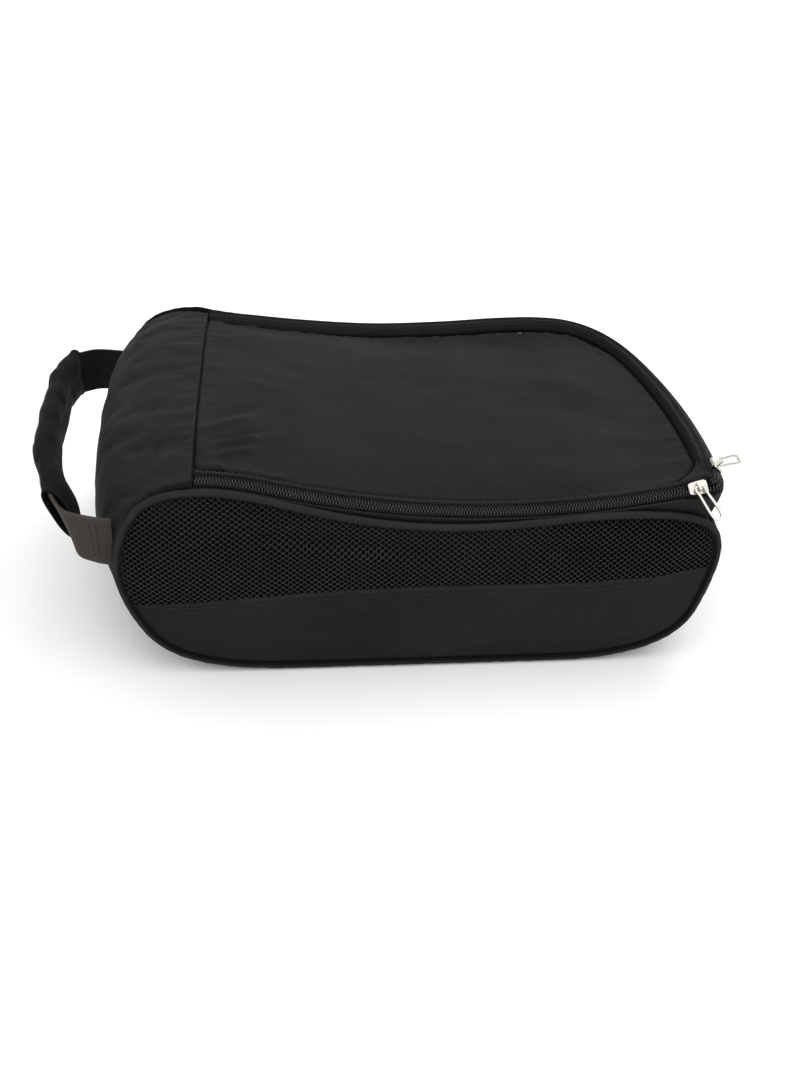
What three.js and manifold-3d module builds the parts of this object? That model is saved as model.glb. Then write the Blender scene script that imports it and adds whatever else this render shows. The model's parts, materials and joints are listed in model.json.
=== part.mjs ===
// Golf shoe bag. Millimetres, +Z up, origin at the middle of the flat base. +X runs from the heel (handle)
// to the toe (sliders), and the near side, with the straight zip leg, is at -Y.
import * as THREE from "three";
import Module from "manifold-3d";

const wasm = await Module();
wasm.setup();
const { Manifold } = wasm;

// ---- driving dimensions ----
const SIDE_Y = 111.5;                   // centre of the piping loops, each side of the middle
const PIPE_R = 2.3;                     // piping round the side panels
const FABRIC = 1.2;                     // outer fabric with its foam backing
const LINING = 0.7;                     // lining cloth
const GAP = 0.4;                        // free space between neighbouring pieces

const ZIP_Y = 104.5;                    // the zip's long legs, each side of the middle
const ARC_X = 38;                       // middle of the near leg's sagging arc
const ARC_Z = 97.6;                     // its lowest point
const ARC_R = 474;                      // and its radius, which the near slider follows
const ARC_START_X = -83.5;              // heel-ward of this the near leg crests over the heel corner
const ZIP_HEEL_X = -120;                // both zip ends, at the heel seam
const NEAR_TURN_X = 151.5;              // the near leg ends and the near toe corner begins
const TOE_ZIP_X = 162.5;                // furthest point of the zip across the toe
const TOE_ARC_R = 480;                  // the toe run is a shallow arc of this radius in plan
const TOE_ARC_Y = -35;                  // and this is the middle of that arc
const TOE_Z = 112.4;                    // height of the zip across the toe
const TOE_NEAR_Y = -94;                 // the toe run starts
const TOE_FAR_Y = 47;                   // and ends
const FAR_TURN_X = 104;                 // the far leg starts here
const TILT = 40 * Math.PI / 180;        // the zip's face leans outward by this much

const COIL_R = 1.1;                     // coil radius
const COIL_B = 1.9;                     // coil centre from the chain's middle
const TAPE_T = 0.6;                     // zip tape thickness
const SLIDER_L = 10;                    // slider length
const SLIDER_HALF = 3.8;                // slider half width
const NEAR_SLIDER_X = 145;              // the near slider's rest place
const TOE_SLIDER_Y = -86.4;             // the toe slider's rest place
const PULL_L = 24;                      // pull length
const PULL_W = 6.6;                     // pull width
const WIRE_R = 0.85;                    // pull wire
const PULL_DROP = 25 * Math.PI / 180;   // a hanging pull's slope below the level
const NEAR_PULL_TURN = -12;             // each pull's splay from square to the zip, degrees
const TOE_PULL_TURN = -45;

const SEAM_X = -121;                    // the heel seam, which is the lid's hinge
const SEAM_Z = 127;                     // its height at the middle
const LID_HALF = 94.5;                  // the lid seam's long legs
const LID_TOE_GAP = 7.8;                // from the zip across the toe to the lid seam
const LID_NEAR_TURN = 131;              // the seam's near leg ends and its near toe corner begins
const LID_TOE_NEAR_Y = -74;             // where that corner ends
const LID_CROWN = 5;                    // how far the lid stands up in the middle
const FOAM = 2.6;                       // foam in the lid

const WEB_W = 28;                       // handle webbing
const WEB_T = 1.6;
const HANDLE_X = -182;                  // the webbing's lap, which the handle swings about
const HANDLE_Z = 83;
const HANDLE_Y = 103;                   // middle of the anchor tabs
const LAP_R = 11;                       // round ends of the tabs and the webbing where they are lapped
const HANDLE_TURN = 2.78 * Math.PI / 180;  // the handle's skew, as the far heel corner stands further out
const GRIP_T = 12.5;                    // grip sleeve, thickness and height
const GRIP_H = 31.5;

const MAT = {
  fabric: [0x2a2a2b, 0, 0.92],
  lining: [0x1d1e20, 0, 0.9],
  mesh: [0x161617, 0, 0.8],
  piping: [0x303031, 0, 0.85],
  tape: [0x33332f, 0, 0.85],
  coil: [0x46463f, 0, 0.55],
  webbing: [0x4a4845, 0, 0.85],
  foam: [0x6a6a68, 0, 0.95],
  board: [0x3a3530, 0, 0.9],
  nickel: [0xc9c8c4, 1, 0.28],
};

const group = new THREE.Group();
group.name = "golf_shoe_bag";

function add(name, geometry, slot) {
  const [color, metalness, roughness] = MAT[slot];
  const material = new THREE.MeshStandardMaterial({ color, metalness, roughness });
  material.name = slot;
  const mesh = new THREE.Mesh(geometry, material);
  mesh.name = name;
  group.add(mesh);
  return mesh;
}

const V = (x, y, z) => new THREE.Vector3(x, y, z);
const mix = (a, b, t) => a + (b - a) * t;
const clamp01 = (t) => Math.min(1, Math.max(0, t));
const smooth = (t) => {
  const c = clamp01(t);
  return c * c * (3 - 2 * c);
};

// ---- closed solids from grids of points ----
function weld(triangles) {
  const index = new Map();
  const points = [];
  const id = (p) => {
    const key = `${Math.round(p.x * 1e4)},${Math.round(p.y * 1e4)},${Math.round(p.z * 1e4)}`;
    if (!index.has(key)) {
      index.set(key, points.length / 3);
      points.push(p.x, p.y, p.z);
    }
    return index.get(key);
  };
  const faces = [];
  for (const t of triangles) {
    const [a, b, c] = t.map(id);
    if (a !== b && b !== c && a !== c) faces.push(a, b, c);
  }
  let volume = 0;
  const at = (i) => V(points[3 * i], points[3 * i + 1], points[3 * i + 2]);
  for (let i = 0; i < faces.length; i += 3) {
    volume += at(faces[i]).dot(at(faces[i + 1]).cross(at(faces[i + 2])));
  }
  if (volume < 0) faces.reverse();
  const geometry = new THREE.BufferGeometry();
  geometry.setAttribute("position", new THREE.Float32BufferAttribute(points, 3));
  geometry.setIndex(faces);
  geometry.computeVertexNormals();
  return geometry;
}

function slab(top, bottom) {
  const triangles = [];
  const quad = (a, b, c, d) => triangles.push([a, b, c], [a, c, d]);
  const n = top.length - 1;
  const m = top[0].length - 1;
  for (let i = 0; i < n; i++) {
    for (let j = 0; j < m; j++) {
      quad(top[i][j], top[i + 1][j], top[i + 1][j + 1], top[i][j + 1]);
      quad(bottom[i][j], bottom[i][j + 1], bottom[i + 1][j + 1], bottom[i + 1][j]);
    }
    quad(top[i][0], bottom[i][0], bottom[i + 1][0], top[i + 1][0]);
    quad(top[i][m], top[i + 1][m], bottom[i + 1][m], bottom[i][m]);
  }
  for (let j = 0; j < m; j++) {
    quad(top[0][j], top[0][j + 1], bottom[0][j + 1], bottom[0][j]);
    quad(top[n][j], bottom[n][j], bottom[n][j + 1], top[n][j + 1]);
  }
  return weld(triangles);
}

// a cloth sheet: f(u, v) is its outer face, and depth goes in behind it along the face's own normal
function gridOf(f, us, vs) {
  return us.map((u) => vs.map((v) => f(u, v)));
}

function behind(grid, depth, flip) {
  const n = grid.length;
  const m = grid[0].length;
  return grid.map((row, i) => row.map((p, j) => {
    const du = grid[Math.min(n - 1, i + 1)][j].clone().sub(grid[Math.max(0, i - 1)][j]);
    const dv = row[Math.min(m - 1, j + 1)].clone().sub(row[Math.max(0, j - 1)]);
    const normal = du.cross(dv).normalize();
    return p.clone().addScaledVector(normal, flip ? depth : -depth);
  }));
}

function sheet(f, us, vs, from, thickness, flip) {
  const face = gridOf(f, us, vs);
  const outer = from === 0 ? face : behind(face, from, flip);
  return slab(outer, behind(face, from + thickness, flip));
}

const spread = (n, a = 0, b = 1) => Array.from({ length: n + 1 }, (_, i) => mix(a, b, i / n));

// a closed section swept along a path: rings is a list of equal-length closed rings, ends are fanned shut
function sweep(rings) {
  const triangles = [];
  const m = rings[0].length;
  for (let i = 0; i < rings.length - 1; i++) {
    for (let j = 0; j < m; j++) {
      const k = (j + 1) % m;
      triangles.push([rings[i][j], rings[i + 1][j], rings[i + 1][k]]);
      triangles.push([rings[i][j], rings[i + 1][k], rings[i][k]]);
    }
  }
  for (let j = 1; j < m - 1; j++) {
    triangles.push([rings[0][0], rings[0][j], rings[0][j + 1]]);
    const last = rings[rings.length - 1];
    triangles.push([last[0], last[j + 1], last[j]]);
  }
  return weld(triangles);
}

// ---- side outlines, x and z of the piping's outer edge ----
const NEAR_OUTLINE = [
  [-128, 117.6], [-140, 114.6], [-149.5, 108.5], [-156, 99.5], [-161, 88], [-163.8, 75], [-163.8, 62],
  [-161, 50], [-155.5, 36], [-148, 23.5], [-137, 13.5], [-122, 6.6], [-102, 2.2], [-84, 0.5], [-64, 0.2],
  [-30, 0.2], [10, 0.2], [50, 0.2], [76, 0.2], [94, 0.7], [112, 3], [130, 8.2], [145, 17], [154, 28],
  [158.8, 42], [161.8, 56], [163.3, 69], [162.3, 80], [158.3, 89], [150.5, 95.2], [139, 98.6],
  [124, 100.4], [101.8, 100.6], [80, 99], [59, 96.7], [38, 95], [16.7, 94.5], [-4.5, 95.6],
  [-25.6, 98.3], [-46.4, 102.4], [-66.8, 107.8], [-86.9, 113.6], [-102, 116.8], [-115, 118.2],
];
const FAR_TOP = [
  [-128, 123.4], [-144, 122], [-157.5, 116.8], [-167, 107.3],
];
const FAR_HEEL_OUT = 10;                // how much further the far side reaches at the heel
const FAR_TOP_LIFT = [
  [-115, 3], [-94, 1.6], [-61, 4.6], [-14, 10.4], [33, 14.6], [80, 14.4], [116, 9.5], [150, 5], [163, 1.5],
];

function table(points, x) {
  const p = points[0][0] < points[points.length - 1][0] ? points : [...points].reverse();
  if (x <= p[0][0]) return p[0][1];
  for (let i = 1; i < p.length; i++) {
    if (x <= p[i][0]) {
      const t = (x - p[i - 1][0]) / (p[i][0] - p[i - 1][0]);
      return mix(p[i - 1][1], p[i][1], smooth(t) * 0.4 + t * 0.6);
    }
  }
  return p[p.length - 1][1];
}

function outline(far) {
  const points = NEAR_OUTLINE.map(([x, z], i) => {
    if (!far) return V(x, 0, z);
    if (i < FAR_TOP.length) return V(FAR_TOP[i][0], 0, FAR_TOP[i][1]);
    const share = smooth((z - 60) / 32);
    const reach = FAR_HEEL_OUT * smooth((-100 - x) / 55);
    return V(x - reach, 0, z + (i > 24 ? table(FAR_TOP_LIFT, x) * share : 0));
  });
  return new THREE.CatmullRomCurve3(points, true, "centripetal");
}

const CURVES = { near: outline(false), far: outline(true) };
const STATIONS = 132;
const LOOPS = {};
for (const side of ["near", "far"]) {
  const points = CURVES[side].getSpacedPoints(STATIONS).slice(0, STATIONS);
  LOOPS[side] = points.map((p, i) => {
    const a = points[(i + STATIONS - 1) % STATIONS];
    const b = points[(i + 1) % STATIONS];
    const t = b.clone().sub(a).normalize();
    return { p, out: V(t.z, 0, -t.x).negate() };
  });
  const centre = V(0, 0, 50);
  const first = LOOPS[side][20];
  if (first.out.dot(first.p.clone().sub(centre)) < 0) LOOPS[side].forEach((s) => s.out.negate());
}

function inset(side, i, depth) {
  const s = LOOPS[side][((i % STATIONS) + STATIONS) % STATIONS];
  return s.p.clone().addScaledVector(s.out, -depth);
}

// position along a side's loop where it first reaches a height or an x, counted in stations
function stationWhere(side, test, start = 0) {
  for (let i = start; i < STATIONS; i++) {
    if (test(LOOPS[side][i].p)) return i;
  }
  return STATIONS - 1;
}

function pathPoint(side, s, depth) {
  const i = Math.floor(s);
  return inset(side, i, depth).lerp(inset(side, i + 1, depth), s - i);
}

const SIGN = { near: -1, far: 1 };

// ---- piping: one closed loop each side ----
for (const side of ["near", "far"]) {
  const loop = LOOPS[side].map((_, i) => {
    const p = inset(side, i, PIPE_R);
    p.y = SIGN[side] * SIDE_Y;
    return p;
  });
  const curve = new THREE.CatmullRomCurve3(loop, true, "centripetal");
  add(`piping_${side}`, new THREE.TubeGeometry(curve, 110, PIPE_R, 6, true), "piping");
}

// ---- side panels: mesh above, plain fabric below, split along a seam ----
const SPLIT = [
  [-170, 45.5], [-120.5, 49.4], [-88.5, 52.4], [-45.7, 55.2], [8.5, 56.7], [86, 57], [120, 59], [170, 65],
];

function bulgeAt(side, x, z) {
  let d = 1e9;
  for (const s of LOOPS[side]) {
    d = Math.min(d, Math.hypot(s.p.x - x, s.p.z - z));
  }
  return 3.4 * smooth((d - 4.8) / 30);
}

function sidePanel(side, upper, from, thickness, edge) {
  const loop = LOOPS[side];
  const heel = stationWhere(side, (p) => p.x < -150 && p.z < table(SPLIT, p.x));
  const toe = stationWhere(side, (p) => p.x > 150 && p.z > table(SPLIT, p.x) - 3, heel);
  const count = upper ? 44 : 30;
  const begin = heel + (upper ? -1 : 1);
  const end = upper ? toe + 1 - STATIONS : toe - 1;
  const gap = upper ? GAP : -0.15;
  const heelX = loop[heel].p.x + edge + 1.5;
  const toeX = loop[toe].p.x - edge - 1.5;
  const face = (u, v) => {
    const rim = pathPoint(side, mix(begin, end, u) + STATIONS, edge);
    const x = mix(heelX, toeX, u);
    const seam = V(x, 0, table(SPLIT, x) + gap);
    const p = seam.lerp(rim, v);
    p.y = SIGN[side] * (SIDE_Y + 0.4 + bulgeAt(side, p.x, p.z));
    return p;
  };
  const us = spread(count).map((u) => u + 0.08 * Math.sin(Math.PI * 2 * u) / (2 * Math.PI));
  const flip = (side === "near") !== upper;
  return sheet(face, us, spread(5), from, thickness, flip);
}

for (const side of ["near", "far"]) {
  const edge = 2 * PIPE_R + GAP;
  add(`side_mesh_${side}`, sidePanel(side, true, 0, 1.0, edge), "mesh");
  add(`side_panel_${side}`, sidePanel(side, false, 0, FABRIC, edge), "fabric");
  add(`side_lining_${side}`, sidePanel(side, false, FABRIC + 2 * GAP, LINING, edge + 2.5), "lining");
}

// ---- heel, base and toe panels, sewn between the two piping loops ----
const WALL_Y = SIDE_Y - PIPE_R - GAP;
const VS = [-1, -0.94, -0.86, -0.7, -0.45, -0.15, 0.15, 0.45, 0.7, 0.86, 0.94, 1];

function between(su, fn, v, depth, push) {
  const a = pathPoint("near", su, depth);
  const b = pathPoint("far", fn(su), depth);
  const p = a.lerp(b, (v + 1) / 2);
  const i = Math.round(su) % STATIONS;
  const out = LOOPS.near[i].out.clone().add(LOOPS.far[Math.round(fn(su)) % STATIONS].out).normalize();
  p.addScaledVector(out, push * (1 - Math.abs(v) ** 2.6));
  p.y = v * WALL_Y;
  return p;
}

const heelTop = 0;
const baseHeel = stationWhere("near", (p) => p.z < 0.8);
const baseToe = stationWhere("near", (p) => p.x > 84, baseHeel);
const toeTop = stationWhere("near", (p) => p.z > 88.5, baseToe);
const FAR_STATIONS = [
  [heelTop, heelTop],
  [baseHeel, stationWhere("far", (p) => p.z < 0.8)],
  [baseToe, stationWhere("far", (p) => p.x > 84, 30)],
  [toeTop, stationWhere("far", (p) => p.x > 140 && p.z > 88.5, 30)],
];
const toFar = (s) => table(FAR_STATIONS, s);

// outer face of the heel, from the base join (u = 0) up to the heel seam (u = 1)
const HEEL_PUSH = [[0, 0], [0.25, 6], [0.5, 11.5], [0.68, 13.5], [0.85, 11], [1, 9]];
function heelFace(u, v) {
  const s = mix(baseHeel - 0.25, heelTop, u);
  const wide = 1 + 0.12 * smooth((u - 0.45) / 0.4) * smooth(v / 0.8);
  const p = between(s, toFar, v, 0.5, table(HEEL_PUSH, u) * wide);
  const k = smooth((u - 0.8) / 0.2);
  p.x = mix(p.x, SEAM_X - GAP / 2, k * smooth((u - 0.9) / 0.1));
  p.z = mix(p.z, seamHeight(p.y), smooth((u - 0.88) / 0.12));
  return p;
}

function seamHeight(y) {
  return SEAM_Z - 5.6 * smooth((Math.abs(y) - 62) / 46);
}

function toeFace(u, v) {
  const s = mix(baseToe + 0.25, toeTop, u);
  const p = between(s, toFar, v, 0.5, 4.5 * Math.sin(Math.PI * Math.min(u, 0.72)));
  return p;
}

function baseFace(u, v) {
  const s = mix(baseHeel, baseToe, u);
  const p = between(s, toFar, v, 0, 0);
  p.z = 0;
  return p;
}

const heelUs = [0, 0.06, 0.13, 0.2, 0.28, 0.36, 0.44, 0.52, 0.6, 0.68, 0.76, 0.83, 0.89, 0.94, 0.975, 1];
const toeUs = spread(14);
add("heel_panel", sheet(heelFace, heelUs, VS, 0, FABRIC, false), "fabric");
add("toe_panel", sheet(toeFace, toeUs, VS, 0, FABRIC, true), "fabric");
add("base_panel", sheet(baseFace, [0, 1], [-1, 1], 0, FABRIC, true), "fabric");
const liningVs = VS.map((v) => v * 0.975);
const heelLiningUs = heelUs.map((u) => mix(0.02, 0.93, u));
add("heel_lining", sheet(heelFace, heelLiningUs, liningVs, FABRIC + 1.5, LINING, false),
  "lining");
add("toe_lining", sheet(toeFace, toeUs.map((u) => mix(0.02, 0.985, u)), liningVs, FABRIC + GAP, LINING, true),
  "lining");
add("base_board", sheet(baseFace, spread(10, 0.01, 0.99), liningVs, FABRIC + GAP, 1.8, true), "board");
add("base_lining", sheet(baseFace, spread(10, 0.01, 0.99), liningVs, FABRIC + 2 * GAP + 1.8, LINING, true),
  "lining");

// ---- the zip's path round three sides ----
function nearZip(x) {
  const arc = (a) => ARC_Z + ARC_R - Math.sqrt(ARC_R ** 2 - (a - ARC_X) ** 2);
  if (x >= ARC_START_X) return arc(x);
  const slope = (ARC_START_X - ARC_X) / ARC_R;
  const run = x - ARC_START_X;
  const full = ZIP_HEEL_X - 8.5 - ARC_START_X;
  return arc(ARC_START_X) + slope * run * (1 - 0.5 * run / full);
}

const FAR_ZIP = [
  [-128.5, 122.6], [-94, 119.1], [-61, 115.8], [-14, 113.2], [33, 114.6], [70, 117.2], [92, 117.8], [104, 117.4],
];
const farZip = new THREE.CatmullRomCurve3(FAR_ZIP.map(([x, z]) => V(x, ZIP_Y, z)), false, "centripetal");
function farZipAt(x) {
  let lo = 0;
  let hi = 1;
  for (let i = 0; i < 40; i++) {
    const t = (lo + hi) / 2;
    if (farZip.getPoint(t).x < x) lo = t;
    else hi = t;
  }
  return farZip.getPoint(lo).z;
}
const toeZipX = (y) => TOE_ZIP_X - TOE_ARC_R + Math.sqrt(TOE_ARC_R ** 2 - (y - TOE_ARC_Y) ** 2);

function hermite(p0, t0, p1, t1, t) {
  const t2 = t * t;
  const t3 = t2 * t;
  return p0.clone().multiplyScalar(2 * t3 - 3 * t2 + 1)
    .addScaledVector(t0, t3 - 2 * t2 + t)
    .addScaledVector(p1, -2 * t3 + 3 * t2)
    .addScaledVector(t1, t3 - t2);
}

const LEG = 24;
const CORNER = 8;
const TOE = 10;
const FAR_CORNER = 10;

function zipStations() {
  const points = [];
  for (let i = 0; i < LEG; i++) {
    const x = mix(ZIP_HEEL_X, NEAR_TURN_X, i / LEG);
    points.push(V(x, -ZIP_Y, nearZip(x)));
  }
  const a = V(NEAR_TURN_X, -ZIP_Y, nearZip(NEAR_TURN_X));
  const b = V(toeZipX(TOE_NEAR_Y), TOE_NEAR_Y, TOE_Z);
  const rise = (NEAR_TURN_X - ARC_X) / ARC_R;
  for (let i = 0; i < CORNER; i++) {
    const leave = V(1, 0, rise * 0.9).multiplyScalar(17);
    points.push(hermite(a, leave, b, V(0.1, 1, 0).multiplyScalar(17), i / CORNER));
  }
  for (let i = 0; i < TOE; i++) {
    const y = mix(TOE_NEAR_Y, TOE_FAR_Y, i / TOE);
    points.push(V(toeZipX(y), y, TOE_Z));
  }
  const c = V(toeZipX(TOE_FAR_Y), TOE_FAR_Y, TOE_Z);
  const d = V(FAR_TURN_X, ZIP_Y, farZipAt(FAR_TURN_X));
  for (let i = 0; i < FAR_CORNER; i++) {
    const leave = V(-0.17, 1, 0).multiplyScalar(92);
    points.push(hermite(c, leave, d, V(-1, 0, 0.05).multiplyScalar(92), i / FAR_CORNER));
  }
  for (let i = 0; i <= LEG; i++) {
    const x = mix(FAR_TURN_X, ZIP_HEEL_X, i / LEG);
    points.push(V(x, ZIP_Y, farZipAt(x)));
  }
  return points;
}

const UP = V(0, 0, 1);
function frames(points) {
  return points.map((p, i) => {
    const a = points[Math.max(0, i - 1)];
    const b = points[Math.min(points.length - 1, i + 1)];
    const along = b.clone().sub(a).normalize();
    const out = along.clone().cross(UP).normalize();
    const up = out.clone().cross(along).normalize();
    const face = up.clone().multiplyScalar(Math.cos(TILT)).addScaledVector(out, Math.sin(TILT));
    const across = out.clone().multiplyScalar(Math.cos(TILT)).addScaledVector(up, -Math.sin(TILT));
    return { p, along, out, up, face, across };
  });
}

const ZIP = frames(zipStations());
const LAST = ZIP.length - 1;
const onZip = (i, b, n) => ZIP[i].p.clone().addScaledVector(ZIP[i].across, b).addScaledVector(ZIP[i].face, n);

// ---- the lid seam, matched station by station with the zip ----
function lidSeamAt(i) {
  const toeStart = LEG + CORNER;
  const toeEnd = toeStart + TOE;
  const onToe = (y) => V(toeZipX(y) - LID_TOE_GAP, y, TOE_Z - 2.2);
  if (i <= LEG) {
    const x = mix(SEAM_X + 1, LID_NEAR_TURN, i / LEG);
    return V(x, -LID_HALF, nearZip(x) - 1.4);
  }
  if (i <= toeStart) {
    const a = V(LID_NEAR_TURN, -LID_HALF, nearZip(LID_NEAR_TURN) - 1.4);
    const rise = (LID_NEAR_TURN - ARC_X) / ARC_R;
    const leave = V(1, 0, rise).multiplyScalar(27);
    const arrive = V(0.08, 1, 0).multiplyScalar(27);
    return hermite(a, leave, onToe(LID_TOE_NEAR_Y), arrive, (i - LEG) / CORNER);
  }
  if (i <= toeEnd) {
    return onToe(mix(LID_TOE_NEAR_Y, TOE_FAR_Y, (i - toeStart) / TOE));
  }
  const t = smooth((i - toeEnd) / FAR_CORNER);
  const width = mix(LID_TOE_GAP, ZIP_Y - LID_HALF, t);
  return ZIP[i].p.clone().addScaledVector(ZIP[i].out, -width).addScaledVector(UP, mix(-2.2, -2.8, t));
}
const SEAM = ZIP.map((_, i) => lidSeamAt(i));
const SHIFT = 0.6;                      // the lid's pieces start this far past the hinge line

// ---- coils and tapes ----
const ringAt = (i, b, n, r, sides) => Array.from({ length: sides }, (_, k) => {
  const a = k / sides * 2 * Math.PI;
  return onZip(i, b + r * Math.cos(a), n + r * Math.sin(a));
});

function coil(b, first, last) {
  const rings = [];
  for (let i = first; i <= last; i++) rings.push(ringAt(i, b, 0, COIL_R, 6));
  return sweep(rings);
}

function tape(rows) {
  const face = ZIP.map((_, i) => rows.map((row) => row(i)));
  return slab(face, behind(face, TAPE_T, true));
}

const bodyTape = tape([
  (i) => onZip(i, 0.8, -1.3),
  (i) => onZip(i, 2.6, -1.3),
  (i) => onZip(i, 3.6, -1.3),
]);
const lidTape = tape([
  (i) => onZip(i, -4.6, -1.6).lerp(SEAM[i].clone().addScaledVector(UP, -3.6), 0.5),
  (i) => onZip(i, -4.6, -1.6),
  (i) => onZip(i, -3, -1.3),
  (i) => onZip(i, -0.8, -1.3),
]);

// ---- sliders ----
function toManifold(geometry) {
  const g = geometry.index ? geometry : weld(trianglesOf(geometry));
  const mesh = new wasm.Mesh({
    numProp: 3,
    vertProperties: new Float32Array(g.attributes.position.array),
    triVerts: new Uint32Array(g.index.array),
  });
  mesh.merge();
  return new Manifold(mesh);
}

function trianglesOf(geometry) {
  const g = geometry.toNonIndexed();
  const p = g.attributes.position;
  const list = [];
  for (let i = 0; i < p.count; i += 3) {
    list.push([0, 1, 2].map((k) => V(p.getX(i + k), p.getY(i + k), p.getZ(i + k))));
  }
  return list;
}

function fromManifold(solid) {
  const mesh = solid.getMesh();
  const at = (k) => {
    const v = mesh.triVerts[k] * mesh.numProp;
    return V(mesh.vertProperties[v], mesh.vertProperties[v + 1], mesh.vertProperties[v + 2]);
  };
  const list = [];
  for (let i = 0; i < mesh.triVerts.length; i += 3) list.push([at(i), at(i + 1), at(i + 2)]);
  return weld(list);
}

const box = (x0, x1, y0, y1, z0, z1) => Manifold.cube([x1 - x0, y1 - y0, z1 - z0]).translate([x0, y0, z0]);

// local frame: x along the zip, y across it towards the body, z out of its face
const PIVOT_N = 3.9;                    // the pull's crossbar, above the chain's middle
function sliderSolid(turn) {
  const h = SLIDER_L / 2;
  const outlinePoints = [
    [-h, -2.6], [-h + 1.2, -3.3], [1.4, -SLIDER_HALF], [h - 1.2, -SLIDER_HALF], [h, -2.9],
    [h, 2.9], [h - 1.2, SLIDER_HALF], [1.4, SLIDER_HALF], [-h + 1.2, 3.3], [-h, 2.6],
  ];
  const plate = (z0, z1) => new wasm.CrossSection([outlinePoints]).extrude(z1 - z0).translate([0, 0, z0]);
  const top = plate(1.45, 2.45);
  const bottom = plate(-3.2, -2.3).scale([1, 0.88, 1]);
  const post = box(1.4, 3.8, -0.42, 0.42, -2.6, 1.8);
  const skirt = plate(-0.9, 1.6).subtract(box(-h - 1, h + 1, -3.32, 3.32, -2, 1.45));
  const bridge = box(-0.7, 0.7, -2.5, 2.5, 2.2, 6).subtract(box(-2, 2, -1.6, 1.6, 2.45, 5.2));
  return top.add(bottom).add(post).add(skirt).add(bridge.rotate([0, 0, turn]));
}

function frameAt(point, along) {
  const out = along.clone().cross(UP).normalize();
  const up = out.clone().cross(along).normalize();
  const face = up.clone().multiplyScalar(Math.cos(TILT)).addScaledVector(out, Math.sin(TILT));
  const across = out.clone().multiplyScalar(Math.cos(TILT)).addScaledVector(up, -Math.sin(TILT));
  return { p: point, along, out, up, face, across };
}

function place(solid, f) {
  const m = [
    f.along.x, f.along.y, f.along.z, 0,
    f.across.x, f.across.y, f.across.z, 0,
    f.face.x, f.face.y, f.face.z, 0,
    f.p.x, f.p.y, f.p.z, 1,
  ];
  return solid.transform(m);
}

const nearSlope = (NEAR_SLIDER_X - ARC_X) / ARC_R;
const nearFrame = frameAt(V(NEAR_SLIDER_X, -ZIP_Y, nearZip(NEAR_SLIDER_X)),
  V(Math.sqrt(1 - nearSlope ** 2), 0, nearSlope));
const toeSlope = (TOE_SLIDER_Y - TOE_ARC_Y) / TOE_ARC_R;
const toeFrame = frameAt(V(toeZipX(TOE_SLIDER_Y), TOE_SLIDER_Y, TOE_Z),
  V(-toeSlope, Math.sqrt(1 - toeSlope ** 2), 0));

add("slider_near", fromManifold(place(sliderSolid(NEAR_PULL_TURN), nearFrame)), "nickel");
add("slider_toe", fromManifold(place(sliderSolid(TOE_PULL_TURN), toeFrame)), "nickel");

// ---- tapes and coils, with the lid's halves left open where the sliders wait ----
const notch = (f) => place(box(-SLIDER_L / 2 - 0.45, SLIDER_L / 2 + 0.45, -SLIDER_HALF - 0.5, 0.3, -4, 3), f);
add("body_zip_tape", bodyTape, "tape");
add("lid_zip_tape", fromManifold(toManifold(lidTape).subtract(notch(nearFrame)).subtract(notch(toeFrame))),
  "tape");
add("body_zip_coil", coil(COIL_B, 0, LAST), "coil");
const lidCoil = toManifold(coil(-COIL_B, 0, LAST)).subtract(notch(nearFrame)).subtract(notch(toeFrame));
const lidCoilNames = ["lid_coil_near_leg", "lid_coil_corner", "lid_coil_far_leg"];
const pieces = lidCoil.decompose();
const order = pieces.map((solid) => {
  const b = solid.boundingBox();
  const rank = b.max[1] < -60 ? (b.min[0] < 0 ? 0 : 1) : 2;
  return { solid, rank };
}).sort((a, b) => a.rank - b.rank);
order.forEach((piece, i) => add(lidCoilNames[i], fromManifold(piece.solid), "coil"));

// ---- pulls: wire loops through the sliders' bridges ----
const PULL_LIFT = -(TILT - PULL_DROP);
function pullSolid(pivot, down, side) {
  const w = PULL_W / 2 - WIRE_R;
  const long = PULL_L - 2 * WIRE_R;
  const local = [
    [-w * 0.62, 0], [0, 0], [w * 0.62, 0], [w * 0.95, 1.6], [w * 0.9, 6], [w, 12], [w, long - 3.2],
    [w * 0.7, long - 0.8], [0, long], [-w * 0.7, long - 0.8], [-w, long - 3.2], [-w, 12], [-w * 0.9, 6],
    [-w * 0.95, 1.6],
  ];
  const points = local.map(([a, d]) => pivot.clone().addScaledVector(side, a).addScaledVector(down, d));
  const curve = new THREE.CatmullRomCurve3(points, true, "centripetal");
  return new THREE.TubeGeometry(curve, 46, WIRE_R, 6, true);
}

function addPull(name, f, turn) {
  const a = turn * Math.PI / 180;
  const side = f.along.clone().multiplyScalar(Math.cos(a)).addScaledVector(f.across, Math.sin(a));
  const flat = f.across.clone().multiplyScalar(Math.cos(a)).addScaledVector(f.along, -Math.sin(a));
  const down = flat.applyAxisAngle(side, PULL_LIFT);
  const pivot = f.p.clone().addScaledVector(f.face, PIVOT_N);
  add(name, pullSolid(pivot, down, side), "nickel");
}
addPull("pull_near", nearFrame, NEAR_PULL_TURN);
addPull("pull_toe", toeFrame, TOE_PULL_TURN);

// ---- band of body fabric between the piping and the zip, and round the toe below it ----
const BAND_Y = SIDE_Y - 3.2;            // the band's lower edge, beside the piping
const BAND_EDGE = 0.9;                  // how far that edge lies inside the side's outline
const BAND_DROP = 3.9;                  // and at least this far below the zip, clear of the slider
const NEAR_STOP = 140;                  // where the band starts to widen towards the toe, each side
const FAR_STOP = 122;

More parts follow.
